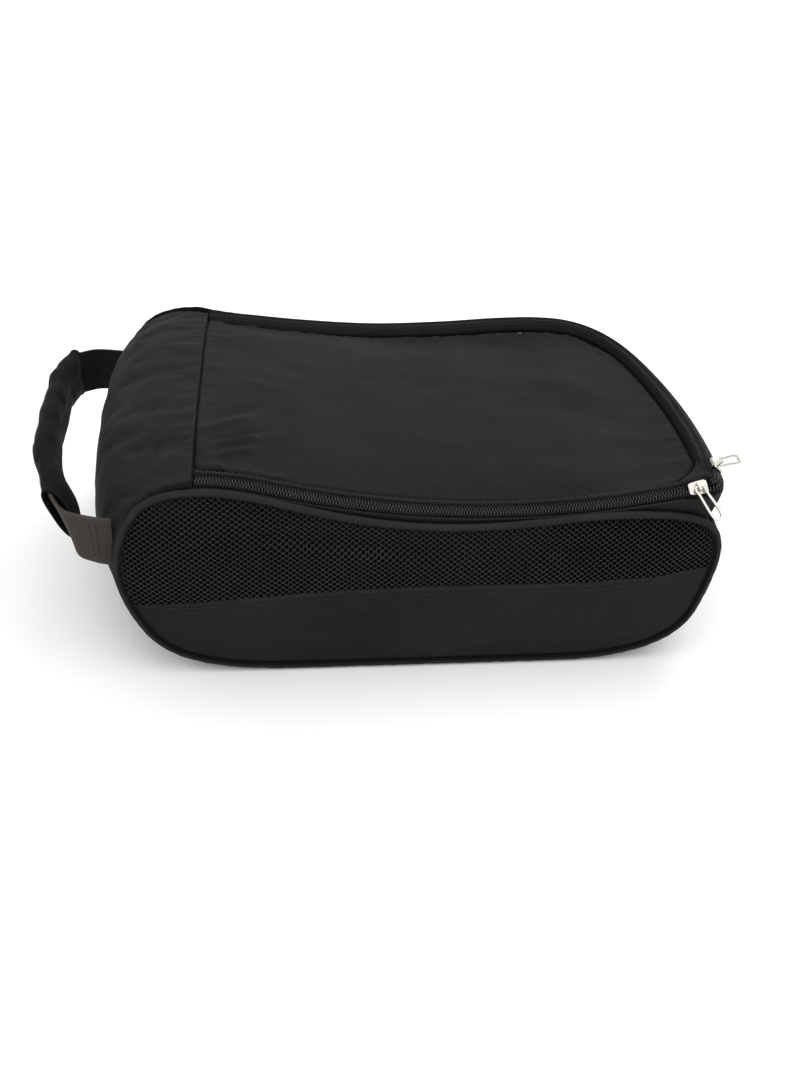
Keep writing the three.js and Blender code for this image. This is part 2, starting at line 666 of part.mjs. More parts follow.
// loop station on the top of a side nearest to an x
function topStation(side, x) {
  let best = 0;
  let score = 1e9;
  for (let i = 0; i < STATIONS; i++) {
    const s = LOOPS[side][i];
    const d = s.out.z < 0.25 ? 1e9 : Math.abs(s.p.x - x);
    if (d < score) {
      score = d;
      best = i;
    }
  }
  const step = LOOPS[side][(best + 1) % STATIONS].p.x - LOOPS[side][best].p.x;
  return best + (x - LOOPS[side][best].p.x) / step;
}

function rim(side, station) {
  const p = pathPoint(side, station, BAND_EDGE);
  p.y = SIGN[side] * BAND_Y;
  if (side === "near") p.z = Math.min(p.z, nearZip(p.x) - BAND_DROP);
  return p;
}

function bandLower(i) {
  const toeStart = LEG + CORNER;
  const toeEnd = toeStart + TOE;
  const farEnd = toeEnd + FAR_CORNER;
  const onToe = (v) => toeFace(1, v).add(V(0, 0, 1.8));
  const low = { near: toeTop + 1.2, far: toFar(toeTop) + 1.2 };
  if (i <= LEG) return rim("near", topStation("near", mix(ZIP_HEEL_X, NEAR_STOP, i / LEG)));
  if (i <= toeStart) {
    const t = (i - LEG) / CORNER;
    if (t <= 0.75) return rim("near", mix(topStation("near", NEAR_STOP), low.near, t / 0.75));
    return rim("near", low.near).lerp(onToe(-0.8), (t - 0.75) / 0.25);
  }
  if (i <= toeEnd) return onToe(mix(-0.8, 0.5, (i - toeStart) / TOE));
  if (i <= farEnd) {
    const t = (i - toeEnd) / FAR_CORNER;
    if (t <= 0.4) return onToe(mix(0.5, 0.93, t / 0.4));
    if (t <= 0.5) return onToe(0.93).lerp(rim("far", low.far), (t - 0.4) / 0.1);
    return rim("far", mix(low.far, topStation("far", FAR_STOP), (t - 0.5) / 0.5));
  }
  return rim("far", topStation("far", mix(FAR_STOP, ZIP_HEEL_X, (i - farEnd) / LEG)));
}

const bandRows = ZIP.map((_, i) => {
  const a = onZip(i, SLIDER_HALF + 0.8, 0.5);
  const b = bandLower(i);
  const m = a.clone().lerp(b, 0.5).addScaledVector(ZIP[i].out, 0.08 * a.distanceTo(b));
  return [a, m, b];
});
add("zip_band", slab(bandRows, behind(bandRows, 0.8, true)), "fabric");

// ---- lid ----
function toeEdge(y) {
  let best = null;
  for (let i = LEG; i <= LEG + CORNER + TOE + FAR_CORNER; i++) {
    const a = SEAM[i];
    const b = SEAM[Math.min(i + 1, LAST)];
    if ((a.y - y) * (b.y - y) <= 0 && Math.abs(a.y - b.y) > 1e-6) {
      const t = (y - a.y) / (b.y - a.y);
      best = a.clone().lerp(b, t);
      break;
    }
  }
  if (best) return best;
  return y < 0 ? SEAM[LEG].clone() : SEAM[LEG + CORNER + TOE + FAR_CORNER].clone();
}

function lidFace(y, x) {
  const end = toeEdge(y);
  const x0 = SEAM_X + SHIFT;
  const u = (x - x0) / (end.x - x0);
  const b = (y / LID_HALF + 1) / 2;
  const nearEnd = LID_NEAR_TURN;
  const farEnd = FAR_TURN_X;
  const zn = nearZip(mix(x0, nearEnd, u)) - 1.4;
  const zf = farZipAt(mix(x0, farEnd, u)) - 2.8;
  const hn = nearZip(x0) - 1.4;
  const hf = farZipAt(x0) - 2.8;
  const tn = nearZip(nearEnd) - 1.4;
  const tf = farZipAt(farEnd) - 2.8;
  const zh = seamHeight(y * 1.07) - 0.4;
  const ruled = mix(zn, zf, b) + mix(zh, end.z, u);
  const corners = mix(mix(hn, hf, b), mix(tn, tf, b), u);
  const crown = LID_CROWN * Math.sin(Math.PI * b) * Math.sin(Math.PI * mix(0.08, 1, u));
  return V(x, y, ruled - corners + crown);
}

function lidLayer(trim, heelTrim, depth, thickness, us, vs) {
  const at = (u, v, drop) => {
    const y = v * (LID_HALF - trim);
    const x = mix(SEAM_X + SHIFT + heelTrim, toeEdge(y).x - trim, u);
    return lidFace(y, x).addScaledVector(UP, -drop);
  };
  return slab(us.map((u) => vs.map((v) => at(u, v, depth))),
    us.map((u) => vs.map((v) => at(u, v, depth + thickness))));
}

const lidUs = spread(14);
const lidVs = [
  -1, -0.995, -0.975, -0.94, -0.88, -0.8, -0.68, -0.5, -0.25, 0, 0.25, 0.42, 0.56, 0.68, 0.78,
  0.86, 0.92, 0.96, 0.985, 1,
];
const innerUs = spread(9);
const innerVs = [-1, -0.97, -0.9, -0.78, -0.5, 0, 0.4, 0.66, 0.82, 0.93, 1];
add("lid_panel", lidLayer(0.8, 0, 0, FABRIC, lidUs, lidVs), "fabric");
add("lid_foam", lidLayer(4.4, 3, FABRIC + 0.4, FOAM, innerUs, innerVs), "foam");
add("lid_lining", lidLayer(4.4, 3, FABRIC + FOAM + 0.8, LINING, innerUs, innerVs), "lining");

const weltRows = ZIP.map((_, i) => {
  const e = onZip(i, -SLIDER_HALF - 1.1, 0.35);
  const r = ZIP[i].p.clone().addScaledVector(ZIP[i].out, -4.9).addScaledVector(ZIP[i].up, 4.3);
  const s = SEAM[i].clone();
  const m = r.clone().lerp(s, 0.5).addScaledVector(UP, 0.5);
  return [e, r, m, s];
});
add("lid_welt", slab(weltRows, behind(weltRows, 1.0, false)), "fabric");

// ---- heel seam tape under the hinge, and corner seams that hold the handle ----
function seamTape(u, v) {
  const y = v * 96;
  return V(SEAM_X - GAP - u * 6, y, seamHeight(y) - FABRIC - 1.9 - u * 0.6);
}
add("heel_seam_tape", sheet(seamTape, [0, 0.5, 1], spread(12, -1, 1), 0, LINING, true), "tape");

// ---- handle ----
const handleLine = [
  [HANDLE_X, -(HANDLE_Y + 2.2), 83], [-191.8, -(HANDLE_Y + 2.4), 84.2], [-197, -103.4, 85.6],
  [-198.8, -97, 88.6],
  [-199.8, -88, 90.2], [-202, -68, 91.6], [-206, -42, 92], [-209, -12, 91.4], [-209.6, 20, 90],
  [-207.6, 50, 88.2], [-203.6, 74, 86.6], [-200, 90, 85.2], [-198.4, 98, 84.4], [-197, 103.4, 83.8],
  [-191.8, HANDLE_Y + 2.4, 83.2], [HANDLE_X, HANDLE_Y + 2.2, 83],
].map(([x, y, z]) => V(x, y, z));
const handleCurve = new THREE.CatmullRomCurve3(handleLine, false, "centripetal");
const handleAt = (t) => {
  const p = handleCurve.getPointAt(t);
  const along = handleCurve.getTangentAt(t);
  along.z = 0;
  along.normalize();
  const out = V(along.y, -along.x, 0).negate();
  return { p, along, out };
};

// turns handle parts, which are built square to the bag, to the handle's skew
function skewed(geometry) {
  return geometry.translate(-HANDLE_X, 0, 0).rotateZ(HANDLE_TURN).translate(HANDLE_X, 0, 0);
}

function strapSolid() {
  const rows = spread(56).map((t) => handleAt(t));
  const build = (offset) => rows.map(({ p, out }) => [-1, 1].map((k) => p.clone()
    .addScaledVector(out, offset).addScaledVector(UP, k * WEB_W / 2)));
  const strip = toManifold(slab(build(WEB_T / 2), build(-WEB_T / 2)));
  const eye = (sign) => Manifold.cylinder(WEB_T, LAP_R, LAP_R, 32, true)
    .rotate([90, 0, 0]).translate([HANDLE_X, sign * (HANDLE_Y + 2.2), HANDLE_Z]);
  return strip.add(eye(-1)).add(eye(1));
}
add("handle_webbing", skewed(fromManifold(strapSolid())), "webbing");

// grip: a folded cover round the webbing, open at both ends, with a slot the webbing runs through
function gripSolid() {
  const from = 0.115;
  const to = 0.885;
  const ring = (t, wide, high, n) => {
    const { p, out } = handleAt(t);
    return Array.from({ length: n }, (_, k) => {
      const a = k / n * 2 * Math.PI;
      const c = Math.cos(a);
      const s = Math.sin(a);
      const x = Math.sign(c) * Math.abs(c) ** 0.75 * wide / 2;
      const z = Math.sign(s) * Math.abs(s) ** 0.6 * high / 2;
      return p.clone().addScaledVector(out, x).addScaledVector(UP, z);
    });
  };
  const end = (t) => 0.72 + 0.28 * smooth(Math.min(t - from, to - t) / 0.035);
  const shell = sweep(spread(30, from, to).map((t) => ring(t, GRIP_T * end(t), GRIP_H, 12)));
  const slotRings = spread(34, from - 0.02, to + 0.02).map((t) => {
    const { p, out } = handleAt(t);
    const w = WEB_T / 2 + 0.45;
    const h = WEB_W / 2 + 0.45;
    return [[-w, -h], [w, -h], [w, h], [-w, h]].map(([x, z]) => p.clone()
      .addScaledVector(out, x).addScaledVector(UP, z));
  });
  return toManifold(shell).subtract(toManifold(sweep(slotRings)));
}
add("handle_grip", skewed(fromManifold(gripSolid())), "fabric");

// anchor tabs, sewn into the corner seams, with the handle's webbing lapped on their outer face
for (const side of ["near", "far"]) {
  const y = SIGN[side] * HANDLE_Y;
  const eye = Manifold.cylinder(WEB_T, LAP_R, LAP_R, 32, true)
    .rotate([90, 0, 0]).translate([HANDLE_X, y, HANDLE_Z]);
  const strap = box(HANDLE_X, -172, y - WEB_T / 2, y + WEB_T / 2, HANDLE_Z - WEB_W / 2 + 0.1,
    HANDLE_Z + WEB_W / 2 - 0.1);
  add(`handle_tab_${side}`, skewed(fromManifold(eye.add(strap))), "webbing");
}

export default group;
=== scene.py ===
import json
import math

import bpy
import numpy as np
from mathutils import Matrix

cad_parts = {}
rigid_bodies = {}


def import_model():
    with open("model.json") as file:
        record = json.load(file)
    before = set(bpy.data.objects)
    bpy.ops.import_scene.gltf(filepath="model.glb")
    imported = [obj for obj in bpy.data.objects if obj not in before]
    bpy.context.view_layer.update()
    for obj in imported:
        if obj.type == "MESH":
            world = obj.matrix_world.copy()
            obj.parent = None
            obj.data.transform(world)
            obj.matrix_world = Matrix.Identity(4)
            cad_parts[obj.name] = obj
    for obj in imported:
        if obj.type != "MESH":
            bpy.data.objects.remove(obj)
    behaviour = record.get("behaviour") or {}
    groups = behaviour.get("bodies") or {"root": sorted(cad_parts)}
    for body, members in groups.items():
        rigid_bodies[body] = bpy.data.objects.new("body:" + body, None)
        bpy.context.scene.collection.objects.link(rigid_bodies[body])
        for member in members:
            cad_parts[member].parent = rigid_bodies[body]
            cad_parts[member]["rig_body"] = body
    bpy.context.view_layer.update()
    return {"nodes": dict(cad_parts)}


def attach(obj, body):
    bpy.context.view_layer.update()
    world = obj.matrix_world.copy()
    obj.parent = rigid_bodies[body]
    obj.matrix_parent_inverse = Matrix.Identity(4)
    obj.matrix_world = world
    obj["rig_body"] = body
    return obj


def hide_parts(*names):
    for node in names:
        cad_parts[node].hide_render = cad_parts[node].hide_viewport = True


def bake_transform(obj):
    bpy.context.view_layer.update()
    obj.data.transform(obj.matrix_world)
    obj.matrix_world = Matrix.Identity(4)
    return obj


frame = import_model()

# Golf shoe bag: cloth, net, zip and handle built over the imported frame. Lengths below are millimetres in the
# frame's axes (heel at -X, toe at +X, near side at -Y) and become metres when a mesh is made.
MM = 0.001
scene = bpy.context.scene

# ---------------------------------------------------------------- camera, floor and light
CAMERA_AT = np.array([-77.5, -604.5, 417.0])
CAMERA_TURN, CAMERA_DOWN, CAMERA_ROLL = (math.radians(a) for a in (7.3, 34.0, 3.0))
FOCAL = 36 * 1135 / 1091


def camera_matrix():
    a, e, r = CAMERA_TURN, CAMERA_DOWN, CAMERA_ROLL
    forward = np.array([math.sin(a) * math.cos(e), math.cos(a) * math.cos(e), -math.sin(e)])
    right = np.array([math.cos(a), -math.sin(a), 0])
    up = np.cross(right, forward)
    right, up = right * math.cos(r) + up * math.sin(r), up * math.cos(r) - right * math.sin(r)
    m = np.eye(4)
    m[:3, 0], m[:3, 1], m[:3, 2], m[:3, 3] = right, up, -forward, CAMERA_AT * MM
    return Matrix(m.tolist())


camera = bpy.data.objects.new("camera", bpy.data.cameras.new("camera"))
camera.data.lens = FOCAL
camera.data.sensor_width = 36
camera.data.clip_start = 0.01
camera.matrix_world = camera_matrix()
scene.collection.objects.link(camera)
scene.camera = camera


def area_light(name, at, target, size, power):
    data = bpy.data.lights.new(name, "AREA")
    data.shape = "DISK"
    data.size = size
    data.energy = power
    lamp = bpy.data.objects.new(name, data)
    z = np.array(at, float) - np.array(target, float)
    z /= np.linalg.norm(z)
    x = np.cross([0, 0, 1.0], z)
    x = x / np.linalg.norm(x) if np.linalg.norm(x) > 1e-6 else np.array([1.0, 0, 0])
    y = np.cross(z, x)
    m = np.eye(4)
    m[:3, 0], m[:3, 1], m[:3, 2], m[:3, 3] = x, y, z, at
    lamp.matrix_world = Matrix(m.tolist())
    scene.collection.objects.link(lamp)


area_light("rim", (0.5, 0.95, 0.9), (0, 0, 0.06), 0.8, 5)
area_light("fill", (0.9, -0.8, 0.5), (0, 0, 0.05), 0.8, 1.5)

overhead = bpy.data.objects.new("overhead", bpy.data.lights.new("overhead", "SUN"))
overhead.data.energy = 2.0
overhead.data.angle = math.radians(110)
overhead.rotation_euler = (math.radians(12), math.radians(-10), 0)
scene.collection.objects.link(overhead)

world = bpy.data.worlds.new("studio")
world.use_nodes = True
world.node_tree.nodes["Background"].inputs[0].default_value = (1, 1, 1, 1)
world.node_tree.nodes["Background"].inputs[1].default_value = 0.68
scene.world = world
scene.view_settings.view_transform = "Standard"


# ---------------------------------------------------------------- numbers
def mix(a, b, t):
    return a + (b - a) * t


def smooth(t):
    t = np.clip(t, 0, 1)
    return t * t * (3 - 2 * t)


def unit(v):
    return v / np.maximum(np.linalg.norm(v, axis=-1, keepdims=True), 1e-12)


def table(points, x):
    """A soft polyline through (x, value) pairs."""
    p = np.array(sorted(points), float)
    x = np.asarray(x, float)
    i = np.clip(np.searchsorted(p[:, 0], x) - 1, 0, len(p) - 2)
    t = np.clip((x - p[i, 0]) / (p[i + 1, 0] - p[i, 0]), 0, 1)
    return mix(p[i, 1], p[i + 1, 1], smooth(t) * 0.4 + t * 0.6)


def catmull(points, closed, t):
    """Centripetal Catmull-Rom through the points, at each t in 0..1."""
    p = np.asarray(points, float)
    n = len(p)
    s = np.asarray(t, float) * (n if closed else n - 1)
    i = np.minimum(np.floor(s).astype(int), n - 1 if closed else n - 2)
    w = (s - i)[:, None]
    if closed:
        q = [p[(i + k) % n] for k in (-1, 0, 1, 2)]
    else:
        e = np.vstack([2 * p[0] - p[1], p, 2 * p[-1] - p[-2]])
        q = [e[i + k] for k in (0, 1, 2, 3)]
    d = [np.maximum(np.sum((q[k + 1] - q[k]) ** 2, 1) ** 0.25, 1e-4)[:, None] for k in range(3)]
    t1 = ((q[1] - q[0]) / d[0] - (q[2] - q[0]) / (d[0] + d[1]) + (q[2] - q[1]) / d[1]) * d[1]
    t2 = ((q[2] - q[1]) / d[1] - (q[3] - q[1]) / (d[1] + d[2]) + (q[3] - q[2]) / d[2]) * d[1]
    c2 = -3 * q[1] + 3 * q[2] - 2 * t1 - t2
    c3 = 2 * q[1] - 2 * q[2] + t1 + t2
    return q[1] + t1 * w + c2 * w ** 2 + c3 * w ** 3


def lengths(path):
    return np.concatenate([[0], np.cumsum(np.linalg.norm(np.diff(path, axis=0), axis=1))])


def sample(rows, have, s):
    """Rows of a table, known at arc lengths have, read at arc lengths s."""
    return np.stack([np.interp(s, have, rows[:, k]) for k in range(rows.shape[1])], -1)


def along_path(path, s):
    """Points of a polyline at arc lengths s."""
    return sample(path, lengths(path), s)


def grid_of(us, vs):
    return np.meshgrid(us, vs, indexing="ij")


def upright(x, z):
    """Points of the plane y = 0."""
    return np.stack([x, 0 * x, z], -1)


def waves(p, size, seed, count=14, stretch=(1, 1, 1)):
    """Smooth seeded noise, about -1..1, with features of the given size."""
    rng = np.random.default_rng(seed)
    p = np.asarray(p, float) * np.array(stretch)
    total = np.zeros(p.shape[:-1])
    for _ in range(count):
        k = unit(rng.normal(size=3)) * (2 * math.pi / size) * rng.uniform(0.55, 1.5)
        shift = rng.uniform(0, 6.28)
        total += np.sin(p @ k + shift + 0.8 * np.sin(p @ unit(rng.normal(size=3)) * 4.2 / size))
    return total / math.sqrt(count)


# ---------------------------------------------------------------- the bag's dimensions
SIDE_Y, PIPE_R = 111.5, 2.3
FABRIC, LINING_CLOTH, GAP = 1.2, 0.5, 0.4
PIPE_SLIM = 0.22
ZIP_Y, ARC_X, ARC_Z, ARC_R, ARC_START_X, ZIP_HEEL_X = 104.5, 38, 97.6, 474, -83.5, -120
NEAR_TURN_X, TOE_ZIP_X, TOE_ARC_R, TOE_ARC_Y, TOE_Z = 151.5, 162.5, 480, -35, 112.4
TOE_NEAR_Y, TOE_FAR_Y, FAR_TURN_X = -94, 47, 104
TILT = math.radians(40)
NEAR_SLIDER_X, TOE_SLIDER_Y = 145, -86.4
PULL_L, PULL_W, WIRE_R, PIVOT_N = 24, 6.6, 0.85, 3.9
NEAR_PULL_TURN, TOE_PULL_TURN, PULL_DROP = -12, -45, math.radians(25)
SEAM_X, SEAM_Z, LID_HALF, LID_TOE_GAP, LID_NEAR_TURN, LID_TOE_NEAR_Y = -121, 127, 94.5, 7.8, 131, -74
LID_CROWN = 5
LID_DROP = {"near": 1.4, "toe": 2.2, "far": 2.8}  # how far the lid's seam lies below the zip
WEB_W, HANDLE_X, HANDLE_Y, GRIP_T, GRIP_H, HANDLE_TURN = 28, -182, 103, 12.5, 31.5, math.radians(2.78)
UP = np.array([0, 0, 1.0])
SIGN = {"near": -1, "far": 1}

NEAR_OUTLINE = [
    [-128, 117.6], [-140, 114.6], [-149.5, 108.5], [-156, 99.5], [-161, 88], [-163.8, 75], [-163.8, 62],
    [-161, 50], [-155.5, 36], [-148, 23.5], [-137, 13.5], [-122, 6.6], [-102, 2.2], [-84, 0.5], [-64, 0.2],
    [-30, 0.2], [10, 0.2], [50, 0.2], [76, 0.2], [94, 0.7], [112, 3], [130, 8.2], [145, 17], [154, 28],
    [158.8, 42], [161.8, 56], [163.3, 69], [162.3, 80], [158.3, 89], [150.5, 95.2], [139, 98.6],
    [124, 100.4], [101.8, 100.6], [80, 99], [59, 96.7], [38, 95], [16.7, 94.5], [-4.5, 95.6],
    [-25.6, 98.3], [-46.4, 102.4], [-66.8, 107.8], [-86.9, 113.6], [-102, 116.8], [-115, 118.2],
]
FAR_TOP = [[-128, 123.4], [-144, 122], [-157.5, 116.8], [-167, 107.3]]
FAR_HEEL_OUT = 10
FAR_TOP_LIFT = [[-115, 3], [-94, 1.6], [-61, 4.6], [-14, 10.4], [33, 14.6], [80, 14.4], [116, 9.5],
                [150, 5], [163, 1.5]]
FAR_ZIP = [[-128.5, 122.6], [-94, 119.1], [-61, 115.8], [-14, 113.2], [33, 114.6], [70, 117.2], [92, 117.8],
           [104, 117.4]]
# the hem between the net and the plain cloth, as height over x
SPLIT = [[-170, 45.5], [-120.5, 49.4], [-88.5, 52.4], [-45.7, 55.2], [8.5, 56.7], [86, 57], [120, 59],
         [170, 65]]
STATIONS = 132
FACE_DEPTH = 0.5


def outline(side):
    pts = []
    for i, (x, z) in enumerate(NEAR_OUTLINE):
        if side == "far" and i < len(FAR_TOP):
            x, z = FAR_TOP[i]
        elif side == "far":
            if i > 24:
                z += float(table(FAR_TOP_LIFT, x) * smooth((z - 60) / 32))
            x -= float(FAR_HEEL_OUT * smooth((-100 - x) / 55))
        pts.append([x, 0, z])
    dense = catmull(pts, True, np.linspace(0, 1, 8001)[:-1])
    dense = np.vstack([dense, dense[:1]])
    s = lengths(dense)
    return dense, s, s[-1]


OUTLINES = {side: outline(side) for side in SIGN}


def edge_at(side, station, depth=0.0):
    """Point and outward direction on a side's outline at a station of its loop, set in by depth."""
    dense, s, total = OUTLINES[side]
    station = np.asarray(station, float)
    depth = np.asarray(depth, float)
    at = np.mod(station, STATIONS) / STATIONS * total

    def point(a):
        a = np.mod(a, total)
        return sample(dense, s, a)

    t = unit(point(at + 3) - point(at - 3))
    out = np.stack([t[..., 2], 0 * t[..., 0], -t[..., 0]], -1)
    p = point(at)
    return p - out * depth[..., None], out


RING = {side: edge_at(side, np.arange(STATIONS)) for side in SIGN}


def station_where(side, test, start=0):
    for i in range(start, STATIONS):
        if test(RING[side][0][i]):
            return i
    return STATIONS - 1


HEEL_TOP = 0
BASE_HEEL = station_where("near", lambda p: p[2] < 0.8)
BASE_TOE = station_where("near", lambda p: p[0] > 84, BASE_HEEL)
TOE_TOP = station_where("near", lambda p: p[2] > 88.5, BASE_TOE)
FAR_STATIONS = [
    [HEEL_TOP, HEEL_TOP],
    [BASE_HEEL, station_where("far", lambda p: p[2] < 0.8)],
    [BASE_TOE, station_where("far", lambda p: p[0] > 84, 30)],
    [TOE_TOP, station_where("far", lambda p: p[0] > 140 and p[2] > 88.5, 30)],
]
HEEL_ENDS = (BASE_HEEL - 0.25, HEEL_TOP)
TOE_ENDS = (BASE_TOE + 0.25, TOE_TOP)
WALL_Y = SIDE_Y - PIPE_R - GAP


def seam_height(y):
    return SEAM_Z - 5.6 * smooth((np.abs(y) - 62) / 46)


def between(station, v, depth, push):
    """The gusset between the two outlines: v runs from -1 at the near side to 1 at the far side."""
    a, out_a = edge_at("near", station, depth)
    b, out_b = edge_at("far", table(FAR_STATIONS, station) + np.maximum(station - TOE_TOP, 0), depth)
    p = mix(a, b, ((v + 1) / 2)[..., None])
    p = p + unit(out_a + out_b) * (push * (1 - np.abs(v) ** 2.6))[..., None]
    p[..., 1] = v * WALL_Y
    return p


HEEL_PUSH = [[0, 0], [0.25, 6], [0.5, 11.5], [0.68, 13.5], [0.85, 11], [1, 9]]


def heel_face(u, v):
    u, v = np.broadcast_arrays(np.asarray(u, float), np.asarray(v, float))
    wide = 1 + 0.12 * smooth((u - 0.45) / 0.4) * smooth(v / 0.8)
    p = between(mix(*HEEL_ENDS, u), v, FACE_DEPTH + 0 * u, table(HEEL_PUSH, u) * wide)
    k = smooth((u - 0.8) / 0.2)
    p[..., 0] = mix(p[..., 0], SEAM_X - GAP / 2, k * smooth((u - 0.9) / 0.1))
    p[..., 2] = mix(p[..., 2], seam_height(p[..., 1]), smooth((u - 0.88) / 0.12))
    return p


def toe_face(u, v):
    u, v = np.broadcast_arrays(np.asarray(u, float), np.asarray(v, float))
    push = 4.5 * np.sin(math.pi * np.minimum(u, 0.72))
    return between(mix(*TOE_ENDS, u), v, FACE_DEPTH + 0 * u, push)


def base_face(u, v):
    u, v = np.broadcast_arrays(np.asarray(u, float), np.asarray(v, float))
    p = between(mix(BASE_HEEL, BASE_TOE, u), v, 0 * u, 0 * u)
    p[..., 2] = 0
    return p


# ---------------------------------------------------------------- the zip's path and the lid's seam
def arc_height(x):
    return ARC_Z + ARC_R - np.sqrt(ARC_R ** 2 - (x - ARC_X) ** 2)


def near_zip(x):
    x = np.asarray(x, float)
    slope = (ARC_START_X - ARC_X) / ARC_R
    run = x - ARC_START_X
    crest = arc_height(ARC_START_X) + slope * run * (1 - 0.5 * run / (ZIP_HEEL_X - 8.5 - ARC_START_X))
    return np.where(x >= ARC_START_X, arc_height(np.maximum(x, ARC_START_X)), crest)


FAR_LINE = catmull([[x, ZIP_Y, z] for x, z in FAR_ZIP], False, np.linspace(0, 1, 2001))


def far_zip(x):
    return np.interp(x, FAR_LINE[:, 0], FAR_LINE[:, 2])


def toe_zip_x(y):
    return TOE_ZIP_X - TOE_ARC_R + np.sqrt(TOE_ARC_R ** 2 - (np.asarray(y, float) - TOE_ARC_Y) ** 2)


def hermite(p0, t0, p1, t1, t):
    t = np.asarray(t, float)[:, None]
    p0, t0, p1, t1 = (np.array(a, float) for a in (p0, t0, p1, t1))
    return (p0 * (2 * t ** 3 - 3 * t ** 2 + 1) + t0 * (t ** 3 - 2 * t ** 2 + t)
            + p1 * (3 * t ** 2 - 2 * t ** 3) + t1 * (t ** 3 - t ** 2))


FINE = 6
LEG, CORNER, TOE, FAR_CORNER = 24 * FINE, 8 * FINE, 10 * FINE, 10 * FINE
TOE_START, TOE_END = LEG + CORNER, LEG + CORNER + TOE
FAR_END = TOE_END + FAR_CORNER
LAST = FAR_END + LEG


def zip_path():
    x = mix(ZIP_HEEL_X, NEAR_TURN_X, np.arange(LEG) / LEG)
    rows = [np.stack([x, 0 * x - ZIP_Y, near_zip(x)], 1)]
    a = [NEAR_TURN_X, -ZIP_Y, float(near_zip(NEAR_TURN_X))]
    rise = (NEAR_TURN_X - ARC_X) / ARC_R
    b = [float(toe_zip_x(TOE_NEAR_Y)), TOE_NEAR_Y, TOE_Z]
    rows.append(hermite(a, [17, 0, rise * 0.9 * 17], b, [1.7, 17, 0], np.arange(CORNER) / CORNER))
    y = mix(TOE_NEAR_Y, TOE_FAR_Y, np.arange(TOE) / TOE)
    rows.append(np.stack([toe_zip_x(y), y, 0 * y + TOE_Z], 1))
    c = [float(toe_zip_x(TOE_FAR_Y)), TOE_FAR_Y, TOE_Z]
    d = [FAR_TURN_X, ZIP_Y, float(far_zip(FAR_TURN_X))]
    rows.append(hermite(c, [-0.17 * 92, 92, 0], d, [-92, 0, 4.6], np.arange(FAR_CORNER) / FAR_CORNER))
    x = mix(FAR_TURN_X, ZIP_HEEL_X, np.arange(LEG + 1) / LEG)
    rows.append(np.stack([x, 0 * x + ZIP_Y, far_zip(x)], 1))
    return np.vstack(rows)


ZIP = zip_path()
ALONG = unit(np.vstack([ZIP[1:], ZIP[-1:]]) - np.vstack([ZIP[:1], ZIP[:-1]]))
for _ in range(6):
    ALONG[1:-1] = unit(ALONG[:-2] + 2 * ALONG[1:-1] + ALONG[2:])
OUT = unit(np.cross(ALONG, UP))
ZUP = unit(np.cross(OUT, ALONG))
FACE = ZUP * math.cos(TILT) + OUT * math.sin(TILT)
ACROSS = OUT * math.cos(TILT) - ZUP * math.sin(TILT)
ZIP_S = lengths(ZIP)


def on_zip(b, n):
    """Points b across the zip and n off its face, all along it."""
    return ZIP + ACROSS * np.asarray(b)[..., None] + FACE * np.asarray(n)[..., None]


def lid_seam():
    rows = []
    x = mix(SEAM_X + 1, LID_NEAR_TURN, np.arange(LEG + 1) / LEG)
    rows.append(np.stack([x, 0 * x - LID_HALF, near_zip(x) - LID_DROP["near"]], 1))
    rise = (LID_NEAR_TURN - ARC_X) / ARC_R

    def on_toe(y):
        y = np.asarray(y, float)
        return np.stack([toe_zip_x(y) - LID_TOE_GAP, y, 0 * y + TOE_Z - LID_DROP["toe"]], -1)

    t = np.arange(1, CORNER + 1) / CORNER
    rows.append(hermite(rows[0][-1], [27, 0, 27 * rise], on_toe(LID_TOE_NEAR_Y), [0.08 * 27, 27, 0], t))
    rows.append(on_toe(mix(LID_TOE_NEAR_Y, TOE_FAR_Y, np.arange(1, TOE + 1) / TOE)))
    t = smooth((np.arange(TOE_END + 1, LAST + 1) - TOE_END) / FAR_CORNER)[:, None]
    i = slice(TOE_END + 1, LAST + 1)
    drop = mix(-LID_DROP["toe"], -LID_DROP["far"], t)
    rows.append(ZIP[i] - OUT[i] * mix(LID_TOE_GAP, ZIP_Y - LID_HALF, t) + UP * drop)
    return np.vstack(rows)


SEAM = lid_seam()


def toe_edge(y):
    """Where the lid's seam runs across the toe end, as x and z for each y."""
    part = SEAM[LEG:FAR_END + 1]
    y = np.clip(y, part[0, 1], part[-1, 1])
    return np.interp(y, part[:, 1], part[:, 0]), np.interp(y, part[:, 1], part[:, 2])


def lid_face(y, x):
    ex, ez = toe_edge(y)
    x0 = SEAM_X + 0.6
    u = np.clip((x - x0) / (ex - x0), 0, 1)
    b = (y / LID_HALF + 1) / 2
    near, far = LID_DROP["near"], LID_DROP["far"]
    zn, zf = near_zip(mix(x0, LID_NEAR_TURN, u)) - near, far_zip(mix(x0, FAR_TURN_X, u)) - far
    hn, hf = float(near_zip(x0)) - near, float(far_zip(x0)) - far
    tn, tf = float(near_zip(LID_NEAR_TURN)) - near, float(far_zip(FAR_TURN_X)) - far
    ruled = mix(zn, zf, b) + mix(seam_height(y * 1.07) - 0.4, ez, u)
    crown = LID_CROWN * np.sin(math.pi * b) * np.sin(math.pi * mix(0.08, 1, u))
    z = ruled - mix(mix(hn, hf, b), mix(tn, tf, b), u) + crown
    return np.stack([x, y, z], -1)


